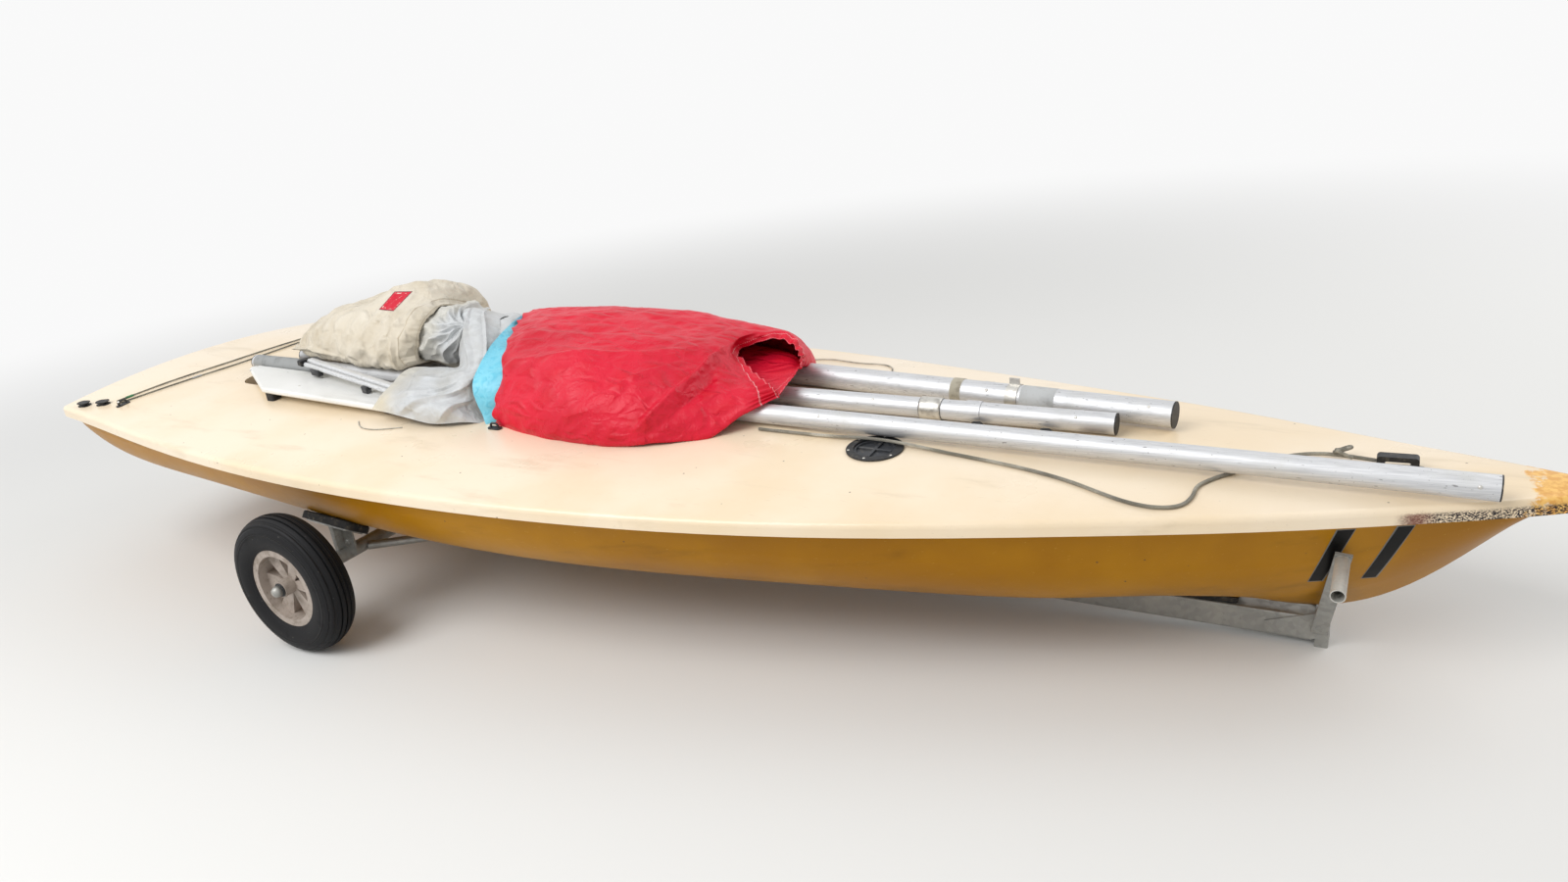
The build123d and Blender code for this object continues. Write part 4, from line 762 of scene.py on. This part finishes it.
def crease(u, v, line, width, lee, height, sharp=1.2):
    """A fold along a line of u, v places: one width to its left and another, lee, to its right."""
    nearest, share, side = 9.0, 0.0, 1.0
    for i, ((u0, v0), (u1, v1)) in enumerate(zip(line, line[1:])):
        du, dv = u1 - u0, v1 - v0
        t = max(0.0, min(1.0, ((u - u0) * du + (v - v0) * dv) / (du * du + dv * dv)))
        gap = math.hypot((u - u0 - du * t) * 1.5, (v - v0 - dv * t))
        if gap < nearest:
            nearest, share = gap, (i + t) / (len(line) - 1)
            side = (u - u0) * dv - (v - v0) * du
    ends = min(1.0, 4.0 * min(share, 1.0 - share) + 0.1)
    return height * ends * max(0.0, 1.0 - nearest / (width if side < 0 else lee)) ** sharp


def rumple(place, scale, seed):
    """Sharp little ridges between smooth hollows, from -1 to 1."""
    spot = Vector((place.x * scale[0], place.y * scale[1], place.z * scale[2] + seed))
    return 1.0 - 2.2 * abs(noise.noise(spot) * 1.4)


FOIL_BAG_ROWS = [
    slanted(-0.505, 25, [
        (-0.300, 0.504), (-0.318, 0.560, 0.018), (-0.292, 0.628, 0.045), (-0.200, 0.688, 0.045),
        (-0.050, 0.710, 0.02), (0.100, 0.712), (0.220, 0.695), (0.320, 0.640), (0.360, 0.560),
        (0.370, 0.508), (0.290, 0.620), (0.150, 0.622), (0.000, 0.622), (-0.180, 0.610)]),
    slanted(-0.380, 21, [
        (-0.318, 0.500), (-0.338, 0.560), (-0.300, 0.635), (-0.200, 0.695), (-0.060, 0.715),
        (0.080, 0.722), (0.230, 0.704), (0.330, 0.640), (0.385, 0.550), (0.392, 0.502),
        (0.290, 0.612), (0.150, 0.612), (0.000, 0.612), (-0.180, 0.605)]),
    slanted(-0.200, 16, [
        (-0.330, 0.497), (-0.347, 0.550), (-0.310, 0.625), (-0.210, 0.692), (-0.070, 0.705),
        (0.080, 0.722), (0.230, 0.706), (0.340, 0.635), (0.395, 0.548), (0.402, 0.498),
        (0.290, 0.600), (0.150, 0.600), (0.000, 0.595), (-0.180, 0.590)]),
    slanted(0.000, 9, [
        (-0.325, 0.493), (-0.337, 0.545), (-0.300, 0.610), (-0.200, 0.660), (-0.070, 0.678),
        (0.080, 0.690), (0.220, 0.690), (0.330, 0.625), (0.385, 0.540), (0.392, 0.492),
        (0.290, 0.588), (0.150, 0.585), (0.000, 0.580), (-0.180, 0.578)]),
    slanted(0.150, 4, [
        (-0.300, 0.490), (-0.307, 0.535), (-0.265, 0.592), (-0.180, 0.635), (-0.060, 0.660),
        (0.080, 0.675), (0.220, 0.668), (0.310, 0.605), (0.360, 0.528), (0.368, 0.488),
        (0.270, 0.578), (0.140, 0.575), (0.000, 0.568), (-0.170, 0.562)]),
    row(
        (0.292, -0.222, 0.489), (0.295, -0.214, 0.520), (0.285, -0.180, 0.565),
        (0.262, -0.125, 0.600), (0.232, -0.035, 0.634), (0.225, 0.080, 0.656),
        (0.250, 0.200, 0.650), (0.275, 0.280, 0.602), (0.300, 0.315, 0.535),
        (0.305, 0.320, 0.486), (0.300, 0.220, 0.568), (0.300, 0.100, 0.566),
        (0.300, 0.000, 0.562), (0.297, -0.130, 0.553)),
    row(
        (0.375, -0.150, 0.537), (0.372, -0.145, 0.550), (0.358, -0.120, 0.571),
        (0.332, -0.085, 0.582), (0.262, -0.005, 0.604), (0.205, 0.080, 0.628),
        (0.285, 0.170, 0.648), (0.340, 0.190, 0.625), (0.370, 0.175, 0.590),
        (0.385, 0.130, 0.574), (0.388, 0.080, 0.569), (0.390, 0.030, 0.566),
        (0.390, -0.040, 0.560), (0.384, -0.110, 0.550)),
    row(
        (0.430, -0.088, 0.556), (0.424, -0.086, 0.563), (0.406, -0.074, 0.573),
        (0.372, -0.055, 0.583), (0.300, 0.000, 0.594), (0.212, 0.095, 0.610),
        (0.290, 0.155, 0.632), (0.345, 0.152, 0.616), (0.381, 0.120, 0.598),
        (0.403, 0.080, 0.582), (0.412, 0.045, 0.573), (0.417, 0.012, 0.569),
        (0.422, -0.025, 0.565), (0.428, -0.062, 0.560)),
]
FOIL_BAG_FOLDS = [
    (((0.16, 0.00), (0.19, 0.22), (0.25, 0.45), (0.30, 0.62)), 0.06, 0.03, 0.014),
    (((0.24, 0.02), (0.27, 0.25), (0.31, 0.50)), 0.05, 0.03, 0.012),
    (((0.05, 0.52), (0.14, 0.60), (0.24, 0.66), (0.31, 0.70)), 0.05, 0.02, 0.018),
    (((0.13, 0.40), (0.20, 0.50), (0.26, 0.60)), 0.04, 0.02, 0.010),
    (((0.10, 0.62), (0.18, 0.68), (0.25, 0.73)), 0.05, 0.05, -0.014)]


def foil_bag_fold(u, v, place):
    """Long soft folds that rise to the mouth, puckers at both hems and a fine rumple."""
    lift = sum(crease(u, v, *fold) for fold in FOIL_BAG_FOLDS)
    lift += rumple(place, (3.0, 7.0, 7.0), 3.1) * 0.0050
    lift += rumple(place, (9.0, 16.0, 16.0), 7.7) * 0.0020
    lift += rumple(place, (26.0, 38.0, 38.0), 1.3) * 0.0007
    mouth = max(0.0, (v - 0.84) / 0.16)
    lift += math.sin(u * 6.2832 * 26 + 1.6 * math.sin(u * 19.0)) * 0.0042 * min(1.0, mouth * 1.8)
    hem = max(0.0, 1.0 - v / 0.05)
    lift += math.sin(u * math.tau * 19 + 2.4 * math.sin(u * 21.0)) * 0.0040 * hem
    return lift if 0.0 < u < 0.68 else lift * 0.2


def foil_bag_hem(u, v):
    """The after hem is drawn into scallops."""
    hem = max(0.0, 1.0 - v / 0.06)
    lobe = abs(math.sin(u * math.pi * 19 + 1.2 * math.sin(u * 21.0)))
    size = 0.011 + 0.005 * math.sin(u * 47.0)
    return Vector((-size * (lobe - 0.6) * hem, 0.0, 0.0))


def cross_lines(shade, along, places, outer, inner):
    """Two thin lines across the cloth, where along has the given values."""
    first, second = (shade.between(shade.maths("ABSOLUTE", along - place), outer, inner)
                     for place in places)
    return shade.maths("MAXIMUM", first, second)


red_nylon, shade = new_material("red_nylon")
around, along, _ = shade.parts(shade.coordinates("UV"))
place = shade.coordinates()
crinkle = shade.crumple(shade.stretched(place, (1.0, 1.7, 1.7)), 13.0)
fine = shade.crumple(place, 44.0)
tone = shade.blend(shade.patches(place, 4.0, 0.4, 0.65, 4.0), rgb(212, 16, 46),
                   rgb(194, 8, 38))
# Painted highlight: the crease lines of the crumpled nylon are lighter.
tone = shade.blend((1.0 - crinkle) * 0.2, tone, rgb(228, 44, 78))
ripstop = shade.maths("MAXIMUM", shade.maths("SINE", around * 2600.0),
                      shade.maths("SINE", along * 1700.0))
dashes = shade.between(shade.maths("SINE", around * 1900.0), 0.1, 0.3)
rows_of_thread = cross_lines(shade, along, (0.905, 0.985), 0.0032, 0.0022) * dashes
tone = shade.blend(rows_of_thread, tone, rgb(240, 214, 214))
shade.finish(Base_Color=tone, Roughness=crinkle * 0.12 + 0.42, Specular_IOR_Level=0.35,
             Normal=shade.bump(ripstop, 0.00012, 0.4, shade.bump(fine, 0.0012, 0.6, shade.bump(
                 crinkle, 0.006, 0.8))))
foil_bag_mesh = cloth_skin("foil_bag_nylon", FOIL_BAG_ROWS, 300, 220, True, foil_bag_fold,
                           foil_bag_hem)
foil_bag = add_piece("foil_bag_nylon", foil_bag_mesh, red_nylon)
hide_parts("foil_bag")


# The bag's aft end is lined with a cyan panel that shows between the red hem and the sail.
CYAN_ROWS = [
    row(
        (-0.396, -0.282, 0.507), (-0.412, -0.287, 0.545), (-0.433, -0.278, 0.606),
        (-0.446, -0.232, 0.652), (-0.462, -0.130, 0.699), (-0.532, 0.050, 0.716),
        (-0.588, 0.180, 0.698), (-0.645, 0.296, 0.640), (-0.668, 0.340, 0.560),
        (-0.672, 0.346, 0.512), (-0.590, 0.270, 0.600), (-0.540, 0.150, 0.606),
        (-0.480, 0.000, 0.606), (-0.430, -0.170, 0.596)),
    slanted(-0.490, 25, [
        (-0.280, 0.508), (-0.298, 0.558, 0.010), (-0.274, 0.620, 0.030), (-0.190, 0.672, 0.035),
        (-0.050, 0.694, 0.02), (0.090, 0.697), (0.200, 0.680), (0.296, 0.628), (0.336, 0.556),
        (0.346, 0.514), (0.270, 0.612), (0.150, 0.614), (0.000, 0.614), (-0.160, 0.602)]),
    slanted(-0.430, 24, [
        (-0.272, 0.512), (-0.290, 0.556), (-0.266, 0.614), (-0.180, 0.664), (-0.050, 0.684),
        (0.090, 0.688), (0.200, 0.670), (0.290, 0.620), (0.330, 0.552), (0.340, 0.518),
        (0.264, 0.616), (0.150, 0.618), (0.000, 0.618), (-0.150, 0.604)]),
]


def cyan_fold(u, v, place):
    """Soft ripples across the panel and a fine rumple."""
    lift = math.sin(u * 6.2832 * 9 + 2.0 * math.sin(u * 17.0)) * 0.0022 * (1.0 - v)
    return lift + rumple(place, (9.0, 14.0, 14.0), 4.4) * 0.0016 + rumple(
        place, (30.0, 30.0, 30.0), 2.2) * 0.0006


cyan_nylon, shade = new_material("cyan_nylon")
place = shade.coordinates()
crinkle = shade.crumple(place, 34.0)
tone = shade.blend(shade.patches(place, 9.0, 0.4, 0.65, 4.0), rgb(112, 202, 226),
                   rgb(92, 184, 212))
# Painted highlight: the crease lines are lighter.
tone = shade.blend((1.0 - crinkle) * 0.4, tone, rgb(150, 222, 240))
shade.finish(Base_Color=tone, Roughness=crinkle * 0.15 + 0.4,
             Normal=shade.bump(crinkle, 0.002, 0.5, shade.bump(shade.cloud(place, 160.0), 0.0006)))
cyan_panel = add_piece("foil_bag_cyan_panel", cloth_skin(
    "foil_bag_cyan_panel", CYAN_ROWS, 180, 40, True, cyan_fold), cyan_nylon)

# The rolled sail lies in a cream canvas bag. Its mouth, sewn with a wide double hem for a
# drawstring, is half open, and a worn plain red patch is sewn on its top.
LYING = [(0.03, 0.0), (0.0, 0.16), (0.02, 0.42), (0.09, 0.70), (0.22, 0.90), (0.42, 1.0),
         (0.62, 0.97), (0.82, 0.78), (0.95, 0.45), (1.0, 0.12), (0.93, 0.0), (0.70, 0.0),
         (0.45, 0.0), (0.22, 0.0)]


def lying(x, turn, near, far, base, top):
    """The cross section of a soft thing that lies on its side."""
    return slanted(x, turn, [(near + (far - near) * a, base + (top - base) * b) for a, b in LYING])


CANVAS_ROWS = [
    lying(-1.506, 0, 0.000, 0.060, 0.6270, 0.640),
    lying(-1.490, 0, -0.020, 0.090, 0.6265, 0.655),
    lying(-1.440, -2, -0.045, 0.140, 0.6250, 0.688),
    lying(-1.360, -4, -0.070, 0.210, 0.6210, 0.728),
    lying(-1.250, -6, -0.095, 0.280, 0.6160, 0.772),
    lying(-1.130, -6, -0.118, 0.325, 0.6120, 0.790),
    lying(-1.010, -4, -0.132, 0.345, 0.6080, 0.806),
    lying(-0.930, 0, -0.140, 0.335, 0.6060, 0.812),
    lying(-0.885, 2, -0.142, 0.320, 0.6050, 0.796),
    row(
        (-0.842, -0.118, 0.618), (-0.852, -0.136, 0.645), (-0.838, -0.140, 0.680),
        (-0.817, -0.134, 0.720), (-0.811, -0.103, 0.755), (-0.822, -0.045, 0.770),
        (-0.843, 0.040, 0.770), (-0.862, 0.132, 0.745), (-0.868, 0.210, 0.707),
        (-0.861, 0.264, 0.664), (-0.850, 0.292, 0.620), (-0.845, 0.200, 0.606),
        (-0.838, 0.080, 0.604), (-0.836, -0.040, 0.606)),
    row(
        (-0.818, -0.100, 0.624), (-0.814, -0.112, 0.648), (-0.800, -0.114, 0.682),
        (-0.789, -0.106, 0.714), (-0.790, -0.076, 0.742), (-0.806, -0.022, 0.757),
        (-0.832, 0.046, 0.759), (-0.856, 0.126, 0.737), (-0.864, 0.198, 0.700),
        (-0.858, 0.250, 0.658), (-0.846, 0.276, 0.622), (-0.838, 0.192, 0.612),
        (-0.828, 0.080, 0.611), (-0.820, -0.030, 0.613)),
    row(
        (-0.840, -0.094, 0.628), (-0.838, -0.106, 0.650), (-0.826, -0.108, 0.682),
        (-0.814, -0.100, 0.712), (-0.815, -0.070, 0.736), (-0.830, -0.020, 0.749),
        (-0.856, 0.046, 0.751), (-0.878, 0.122, 0.730), (-0.886, 0.190, 0.695),
        (-0.880, 0.240, 0.656), (-0.870, 0.264, 0.626), (-0.862, 0.186, 0.618),
        (-0.852, 0.080, 0.617), (-0.844, -0.026, 0.618)),
]
CANVAS_FOLDS = [
    (((0.02, 0.08), (0.09, 0.16), (0.10, 0.30), (0.06, 0.44)), 0.05, 0.02, 0.012),
    (((0.18, 0.02), (0.14, 0.10), (0.06, 0.20)), 0.04, 0.025, 0.009),
    (((0.05, 0.46), (0.12, 0.52), (0.20, 0.56), (0.30, 0.58)), 0.05, 0.03, 0.007),
    (((0.04, 0.60), (0.14, 0.64), (0.26, 0.66)), 0.04, 0.03, 0.007),
    (((0.03, 0.72), (0.12, 0.745), (0.22, 0.76), (0.30, 0.80)), 0.03, 0.02, 0.009),
    (((0.30, 0.50), (0.36, 0.62), (0.36, 0.76)), 0.05, 0.05, 0.010),
    (((0.42, 0.30), (0.50, 0.50), (0.52, 0.70)), 0.06, 0.06, 0.010)]


def canvas_fold(u, v, place):
    """Creases that rise from the underside, a slack top, and a mouth hem of double cloth."""
    lift = sum(crease(u, v, *fold) for fold in CANVAS_FOLDS) * 1.5 if v < 0.82 and u < 0.7 else 0.0
    lift += rumple(place, (5.0, 6.0, 6.0), 8.8) * 0.0070 + rumple(
        place, (17.0, 12.0, 12.0), 5.5) * 0.0038
    lift += rumple(place, (44.0, 34.0, 34.0), 6.1) * 0.0011
    hem = min(1.0, max(0.0, (v - 0.795) / 0.012))
    lift = lift * (1.0 - 0.6 * hem) + 0.0022 * hem * (v < 0.92)
    return (lift + 0.0004 * math.sin(u * 6.2832 * 31 + 3.0 * math.sin(u * 23.0)) * hem) * (
        1.0 if 0.0 < u < 0.72 else 0.3)


canvas, shade = new_material("canvas")
around, along, _ = shade.parts(shade.coordinates("UV"))
place = shade.coordinates()
crinkle = shade.crumple(place, 15.0)
soiled = shade.patches(place, 5.5, 0.42, 0.72, 6.0, 0.65)
tone = shade.blend(soiled * 0.8, rgb(222, 214, 198), rgb(196, 184, 162))
stained = shade.patches(place, 17.0, 0.58, 0.72, 5.0, 0.7)
tone = shade.blend(stained * 0.45, tone, rgb(168, 150, 118))
# Painted shade: the crease lines are darker.
tone = shade.blend((1.0 - crinkle) * 0.22, tone, rgb(190, 176, 150))
stitches = shade.between(shade.maths("SINE", around * 2200.0), 0.0, 0.3)
seams = cross_lines(shade, along, (0.800, 0.896), 0.0035, 0.0020)
tone = shade.blend(seams * (stitches * 0.5 + 0.3), tone, rgb(168, 150, 120))
weave = shade.maths("MULTIPLY", shade.maths("SINE", around * 3300.0),
                    shade.maths("SINE", along * 2900.0))
shade.finish(Base_Color=tone, Roughness=soiled * 0.08 + 0.84, Sheen_Weight=0.1,
             Normal=shade.bump(weave, 0.0003, 0.35, shade.bump(crinkle, 0.009, 0.8, shade.bump(
                 seams, 0.0012, 0.6))))
canvas_mesh = cloth_skin("sail_bag_canvas", CANVAS_ROWS, 300, 220, True, canvas_fold)
sail_bag = add_piece("sail_bag_canvas", canvas_mesh, canvas)
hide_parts("sail_bag")

canvas_tree = BVHTree.FromObject(sail_bag, bpy.context.evaluated_depsgraph_get())
PATCH_CORNERS = row(
    (-0.932, -0.110, 0.788), (-0.888, -0.095, 0.779), (-0.962, 0.060, 0.802),
    (-1.020, 0.040, 0.807))
eye = camera.matrix_world.translation


def on_canvas(u, v):
    """A place on the bag's top, seen along the camera's line of sight."""
    a, b, c, d = PATCH_CORNERS
    aim = (a * (1.0 - u) + b * u) * (1.0 - v) + (d * (1.0 - u) + c * u) * v
    hit = canvas_tree.ray_cast(eye, (aim - eye).normalized())[0]
    return hit + (eye - hit).normalized() * 0.0015


red_patch, shade = new_material("patch_red")
across, along, _ = shade.parts(shade.coordinates("UV"))
place = shade.coordinates()
edge = shade.maths("MAXIMUM", shade.maths("ABSOLUTE", across - 0.5),
                   shade.maths("ABSOLUTE", along - 0.5))
worn = shade.patches(place, 60.0, 0.50, 0.60, 5.0, 0.7)
pale = shade.between(edge, 0.36, 0.38) * shade.between(edge, 0.44, 0.42) * worn
dark = shade.between(edge, 0.455, 0.47)
tone = shade.blend(shade.cloud(place, 40.0, 4.0) * 0.5, rgb(206, 26, 52), rgb(186, 22, 46))
tone = shade.blend(pale, tone, rgb(226, 212, 200))
tone = shade.blend(dark * 0.8, tone, rgb(84, 54, 66))
shade.finish(Base_Color=tone, Roughness=worn * 0.2 + 0.6,
             Normal=shade.bump(shade.cloud(place, 500.0, 3.0), 0.0004, 0.6))
patch = add_piece("sail_bag_red_patch", grid("sail_bag_red_patch", 24, 30, on_canvas),
                  red_patch)

# White sailcloth is stuffed in the mouth of the canvas bag. A limb of it comes out over the
# spars, goes under the nylon bag and spreads as a flap down to the side deck.
SAIL_BODY_ROWS = [
    lying(-0.940, 0, -0.050, 0.220, 0.618, 0.735), lying(-0.850, 2, -0.045, 0.215, 0.612, 0.722),
    lying(-0.760, 6, -0.040, 0.215, 0.585, 0.702), lying(-0.690, 12, -0.050, 0.230, 0.560, 0.692),
    lying(-0.620, 20, -0.060, 0.270, 0.540, 0.706), lying(-0.550, 25, -0.120, 0.300, 0.530, 0.713),
    lying(-0.500, 25, -0.160, 0.290, 0.530, 0.692), lying(-0.440, 25, -0.200, 0.280, 0.530, 0.668)]
SAIL_BUNCH_ROWS = [
    [Vector(point) for point in line] for line in (
        ((-0.880, -0.080, 0.622), (-0.885, -0.098, 0.655), (-0.880, -0.092, 0.705),
         (-0.875, -0.058, 0.735), (-0.875, 0.010, 0.746), (-0.900, 0.100, 0.735)),
        ((-0.812, -0.084, 0.622), (-0.805, -0.104, 0.660), (-0.798, -0.100, 0.704),
         (-0.800, -0.068, 0.734), (-0.815, 0.000, 0.750), (-0.850, 0.100, 0.742)),
        ((-0.768, -0.084, 0.618), (-0.752, -0.106, 0.655), (-0.744, -0.106, 0.702),
         (-0.748, -0.074, 0.738), (-0.775, 0.010, 0.757), (-0.815, 0.110, 0.750)),
        ((-0.728, -0.078, 0.612), (-0.706, -0.102, 0.652), (-0.700, -0.098, 0.702),
         (-0.708, -0.064, 0.738), (-0.745, 0.022, 0.760), (-0.785, 0.120, 0.752)),
        ((-0.690, -0.064, 0.606), (-0.664, -0.088, 0.648), (-0.660, -0.078, 0.698),
         (-0.674, -0.042, 0.730), (-0.716, 0.030, 0.752), (-0.750, 0.130, 0.744)),
        ((-0.640, -0.020, 0.600), (-0.615, -0.040, 0.640), (-0.615, -0.025, 0.690),
         (-0.640, 0.010, 0.716), (-0.690, 0.050, 0.730), (-0.720, 0.140, 0.726)))]
SAIL_FLAP_ROWS = [
    [Vector(point) for point in line] for line in (
        ((-0.780, 0.240, 0.560), (-0.745, 0.250, 0.552), (-0.710, 0.262, 0.548),
         (-0.680, 0.272, 0.546), (-0.650, 0.280, 0.546)),
        ((-0.775, 0.190, 0.640), (-0.740, 0.200, 0.640), (-0.705, 0.210, 0.638),
         (-0.670, 0.220, 0.634), (-0.640, 0.230, 0.628)),
        ((-0.755, 0.115, 0.708), (-0.720, 0.122, 0.708), (-0.685, 0.128, 0.704),
         (-0.655, 0.134, 0.700), (-0.620, 0.140, 0.692)),
        ((-0.717, 0.030, 0.752), (-0.691, 0.034, 0.751), (-0.667, 0.038, 0.746),
         (-0.642, 0.044, 0.734), (-0.600, 0.052, 0.716)),
        ((-0.672, -0.048, 0.710), (-0.615, -0.076, 0.723), (-0.570, -0.084, 0.726),
         (-0.548, -0.064, 0.714), (-0.540, -0.020, 0.696)),
        ((-0.646, -0.098, 0.662), (-0.578, -0.134, 0.680), (-0.515, -0.150, 0.689),
         (-0.485, -0.140, 0.682), (-0.475, -0.105, 0.665)),
        ((-0.605, -0.150, 0.625), (-0.537, -0.190, 0.641), (-0.482, -0.215, 0.650),
         (-0.448, -0.206, 0.641), (-0.415, -0.186, 0.630)),
        ((-0.664, -0.172, 0.629), (-0.569, -0.225, 0.630), (-0.492, -0.262, 0.630),
         (-0.457, -0.268, 0.627), (-0.443, -0.235, 0.607)),
        ((-0.766, -0.195, 0.628), (-0.631, -0.270, 0.615), (-0.544, -0.300, 0.596),
         (-0.483, -0.298, 0.583), (-0.441, -0.252, 0.562)),
        ((-0.737, -0.308, 0.609), (-0.628, -0.340, 0.594), (-0.548, -0.347, 0.574),
         (-0.478, -0.332, 0.562), (-0.435, -0.262, 0.532)),
        ((-0.757, -0.366, 0.565), (-0.643, -0.356, 0.543), (-0.543, -0.351, 0.526),
         (-0.455, -0.318, 0.522), (-0.405, -0.276, 0.506)))]
SAIL_FLAP_FOLDS = [
    (((0.55, 0.64), (0.35, 0.75), (0.12, 0.83)), 0.06, 0.03, 0.015),
    (((0.85, 0.70), (0.60, 0.81), (0.35, 0.91), (0.20, 0.98)), 0.06, 0.03, 0.016),
    (((0.90, 0.79), (0.75, 0.89), (0.55, 0.98)), 0.06, 0.03, 0.014),
    (((0.60, 0.70), (0.40, 0.82), (0.10, 0.93)), 0.04, 0.02, 0.010),
    (((0.25, 0.30), (0.32, 0.48), (0.50, 0.64)), 0.10, 0.06, 0.014),
    (((0.68, 0.28), (0.72, 0.50), (0.80, 0.66)), 0.08, 0.05, 0.011),
    (((0.02, 0.72), (0.25, 0.90), (0.31, 0.99)), 0.015, 0.015, 0.003)]


def flap_fold(u, v, place):
    """Folds that run out of the limb and fan across the flap."""
    lift = sum(crease(u, v, *fold) for fold in SAIL_FLAP_FOLDS)
    return lift + rumple(place, (7.0, 8.0, 8.0), 2.4) * 0.0028 + rumple(
        place, (24.0, 22.0, 22.0), 9.1) * 0.0008


def bunch_fold(u, v, place):
    """Deep creases that all run to the place where the limb comes out."""
    du, dv = (u - 0.55) * 1.3, v - 0.86
    reach, turn = math.hypot(du, dv), math.atan2(du, -dv)
    broad_drift = 1.6 * noise.noise(Vector((reach * 3.0, 7.0, 1.0)))
    fine_drift = 2.0 * noise.noise(Vector((reach * 5.0, 2.0, 4.0)))
    wave = 1.0 - 2.0 * abs(math.sin(turn * 5.2 + broad_drift))
    wave += 0.4 - 0.8 * abs(math.sin(turn * 11.3 + fine_drift))
    lift = wave * 0.010 * min(1.0, reach * 4.0) * max(0.0, 1.2 - reach)
    return lift + rumple(place, (16.0, 14.0, 14.0), 5.9) * 0.0022 + rumple(
        place, (34.0, 30.0, 30.0), 3.3) * 0.0014


def body_fold(u, v, place):
    """A loose rumple all over the rolled cloth."""
    return rumple(place, (6.0, 9.0, 9.0), 1.9) * 0.0055 + rumple(
        place, (22.0, 22.0, 22.0), 4.9) * 0.0014


sailcloth, shade = new_material("sailcloth")
across, along, _ = shade.parts(shade.coordinates("UV"))
place = shade.coordinates()
x, y, z = shade.parts(place)
crinkle = shade.crumple(place, 20.0)
fine = shade.crumple(place, 62.0)
tone = shade.blend(shade.patches(place, 7.0, 0.4, 0.7, 5.0), rgb(206, 209, 211),
                   rgb(188, 187, 182))
aged = shade.between(x + shade.cloud(place, 6.0, 3.0) * 0.10, -0.60, -0.69) * shade.between(
    z, 0.630, 0.575)
tone = shade.blend(aged * 0.75, tone, rgb(222, 204, 164))
# Painted light: the cloth at and inside the canvas bag's mouth is tinted warm, as by light off the
# canvas.
inside = shade.between(x, -0.70, -0.76)
tone = shade.blend(inside * 0.5, tone, rgb(214, 208, 190))
# Painted shade: the crease lines are darker.
tone = shade.blend((1.0 - crinkle) * 0.25, tone, rgb(160, 160, 158))
weave = shade.maths("MULTIPLY", shade.maths("SINE", x * 5200.0), shade.maths(
    "SINE", (y + z) * 5200.0))
shade.finish(Base_Color=tone, Roughness=crinkle * 0.15 + 0.42, Sheen_Weight=0.06,
             Normal=shade.bump(weave, 0.0001, 0.3, shade.bump(fine, 0.0007, 0.6, shade.bump(
                 crinkle, 0.0035, 0.7))))
for name, rows, size, closed, fold, cut, replaced in (
        ("sail_roll", SAIL_BODY_ROWS, (160, 100), True, body_fold, (1.0, 0.7), "sail"),
        ("sail_bunch", SAIL_BUNCH_ROWS, (180, 170), False, bunch_fold, (0.5, 0.6), None),
        ("sail_flap", SAIL_FLAP_ROWS, (150, 300), False, flap_fold, (0.40, 1.1), None)):
    piece = add_piece(name, cloth_skin(name, rows, *size, closed, fold), sailcloth)
    if replaced:
        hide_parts(replaced)

# A pale floor and soft light from a broad lamp overhead and the sky around.
bm = bmesh.new()
bmesh.ops.create_grid(bm, x_segments=1, y_segments=1, size=60.0)
floor_mesh = mesh_from(bm, "floor")
floor = bpy.data.objects.new("floor", floor_mesh)
bpy.context.scene.collection.objects.link(floor)
floor_paint, shade = new_material("floor_paint")
x, y, z = shade.parts(shade.coordinates())
away = shade.maths("SQRT", x * x + y * y)
path = shade.node("LightPath")
far = shade.between(away, 2.6, 7.5) * path
paint = shade.node("BsdfPrincipled", inputs={"Base Color": rgb(226, 226, 224), "Roughness": 0.9})
glow = shade.node("Emission", inputs={"Color": (1.0, 1.0, 1.0, 1.0), "Strength": 0.95})
mixed = shade.node("MixShader", inputs={0: far, 1: paint, 2: glow})
shade.node("OutputMaterial", inputs={"Surface": mixed})
floor_mesh.materials.append(floor_paint)
floor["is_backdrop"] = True

world = bpy.data.worlds.new("studio")
world.use_nodes = True
world.node_tree.nodes.clear()
sky = Shade(world.node_tree)
path = sky.node("LightPath")
outputs = path.socket.node.outputs
seen = sky.maths("MAXIMUM", Shade(world.node_tree, outputs["Is Camera Ray"]), sky.maths(
    "MAXIMUM", Shade(world.node_tree, outputs["Is Glossy Ray"]),
    Shade(world.node_tree, outputs["Is Transmission Ray"])))
back = sky.node("Background", inputs={"Color": (1.0, 1.0, 1.0, 1.0), "Strength": seen * 0.35 + 0.6})
sky.node("OutputWorld", inputs={"Surface": back})
bpy.context.scene.world = world
for name, place, aim, power, size in (
        ("key", (-1.5, -4.0, 5.0), (0.0, 0.0, 0.4), 260.0, 4.0),
        ("fill", (4.5, 3.5, 4.0), (0.0, 0.0, 0.4), 110.0, 4.0)):
    lamp = bpy.data.lights.new(name, "AREA")
    lamp.energy, lamp.size = power, size
    light = bpy.data.objects.new(name, lamp)
    way = Vector(aim) - Vector(place)
    aimed = way.to_track_quat("-Z", "Y").to_matrix().to_4x4()
    light.matrix_world = Matrix.Translation(place) @ aimed
    bpy.context.scene.collection.objects.link(light)
bpy.context.scene.view_settings.view_transform = "Standard"

low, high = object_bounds()
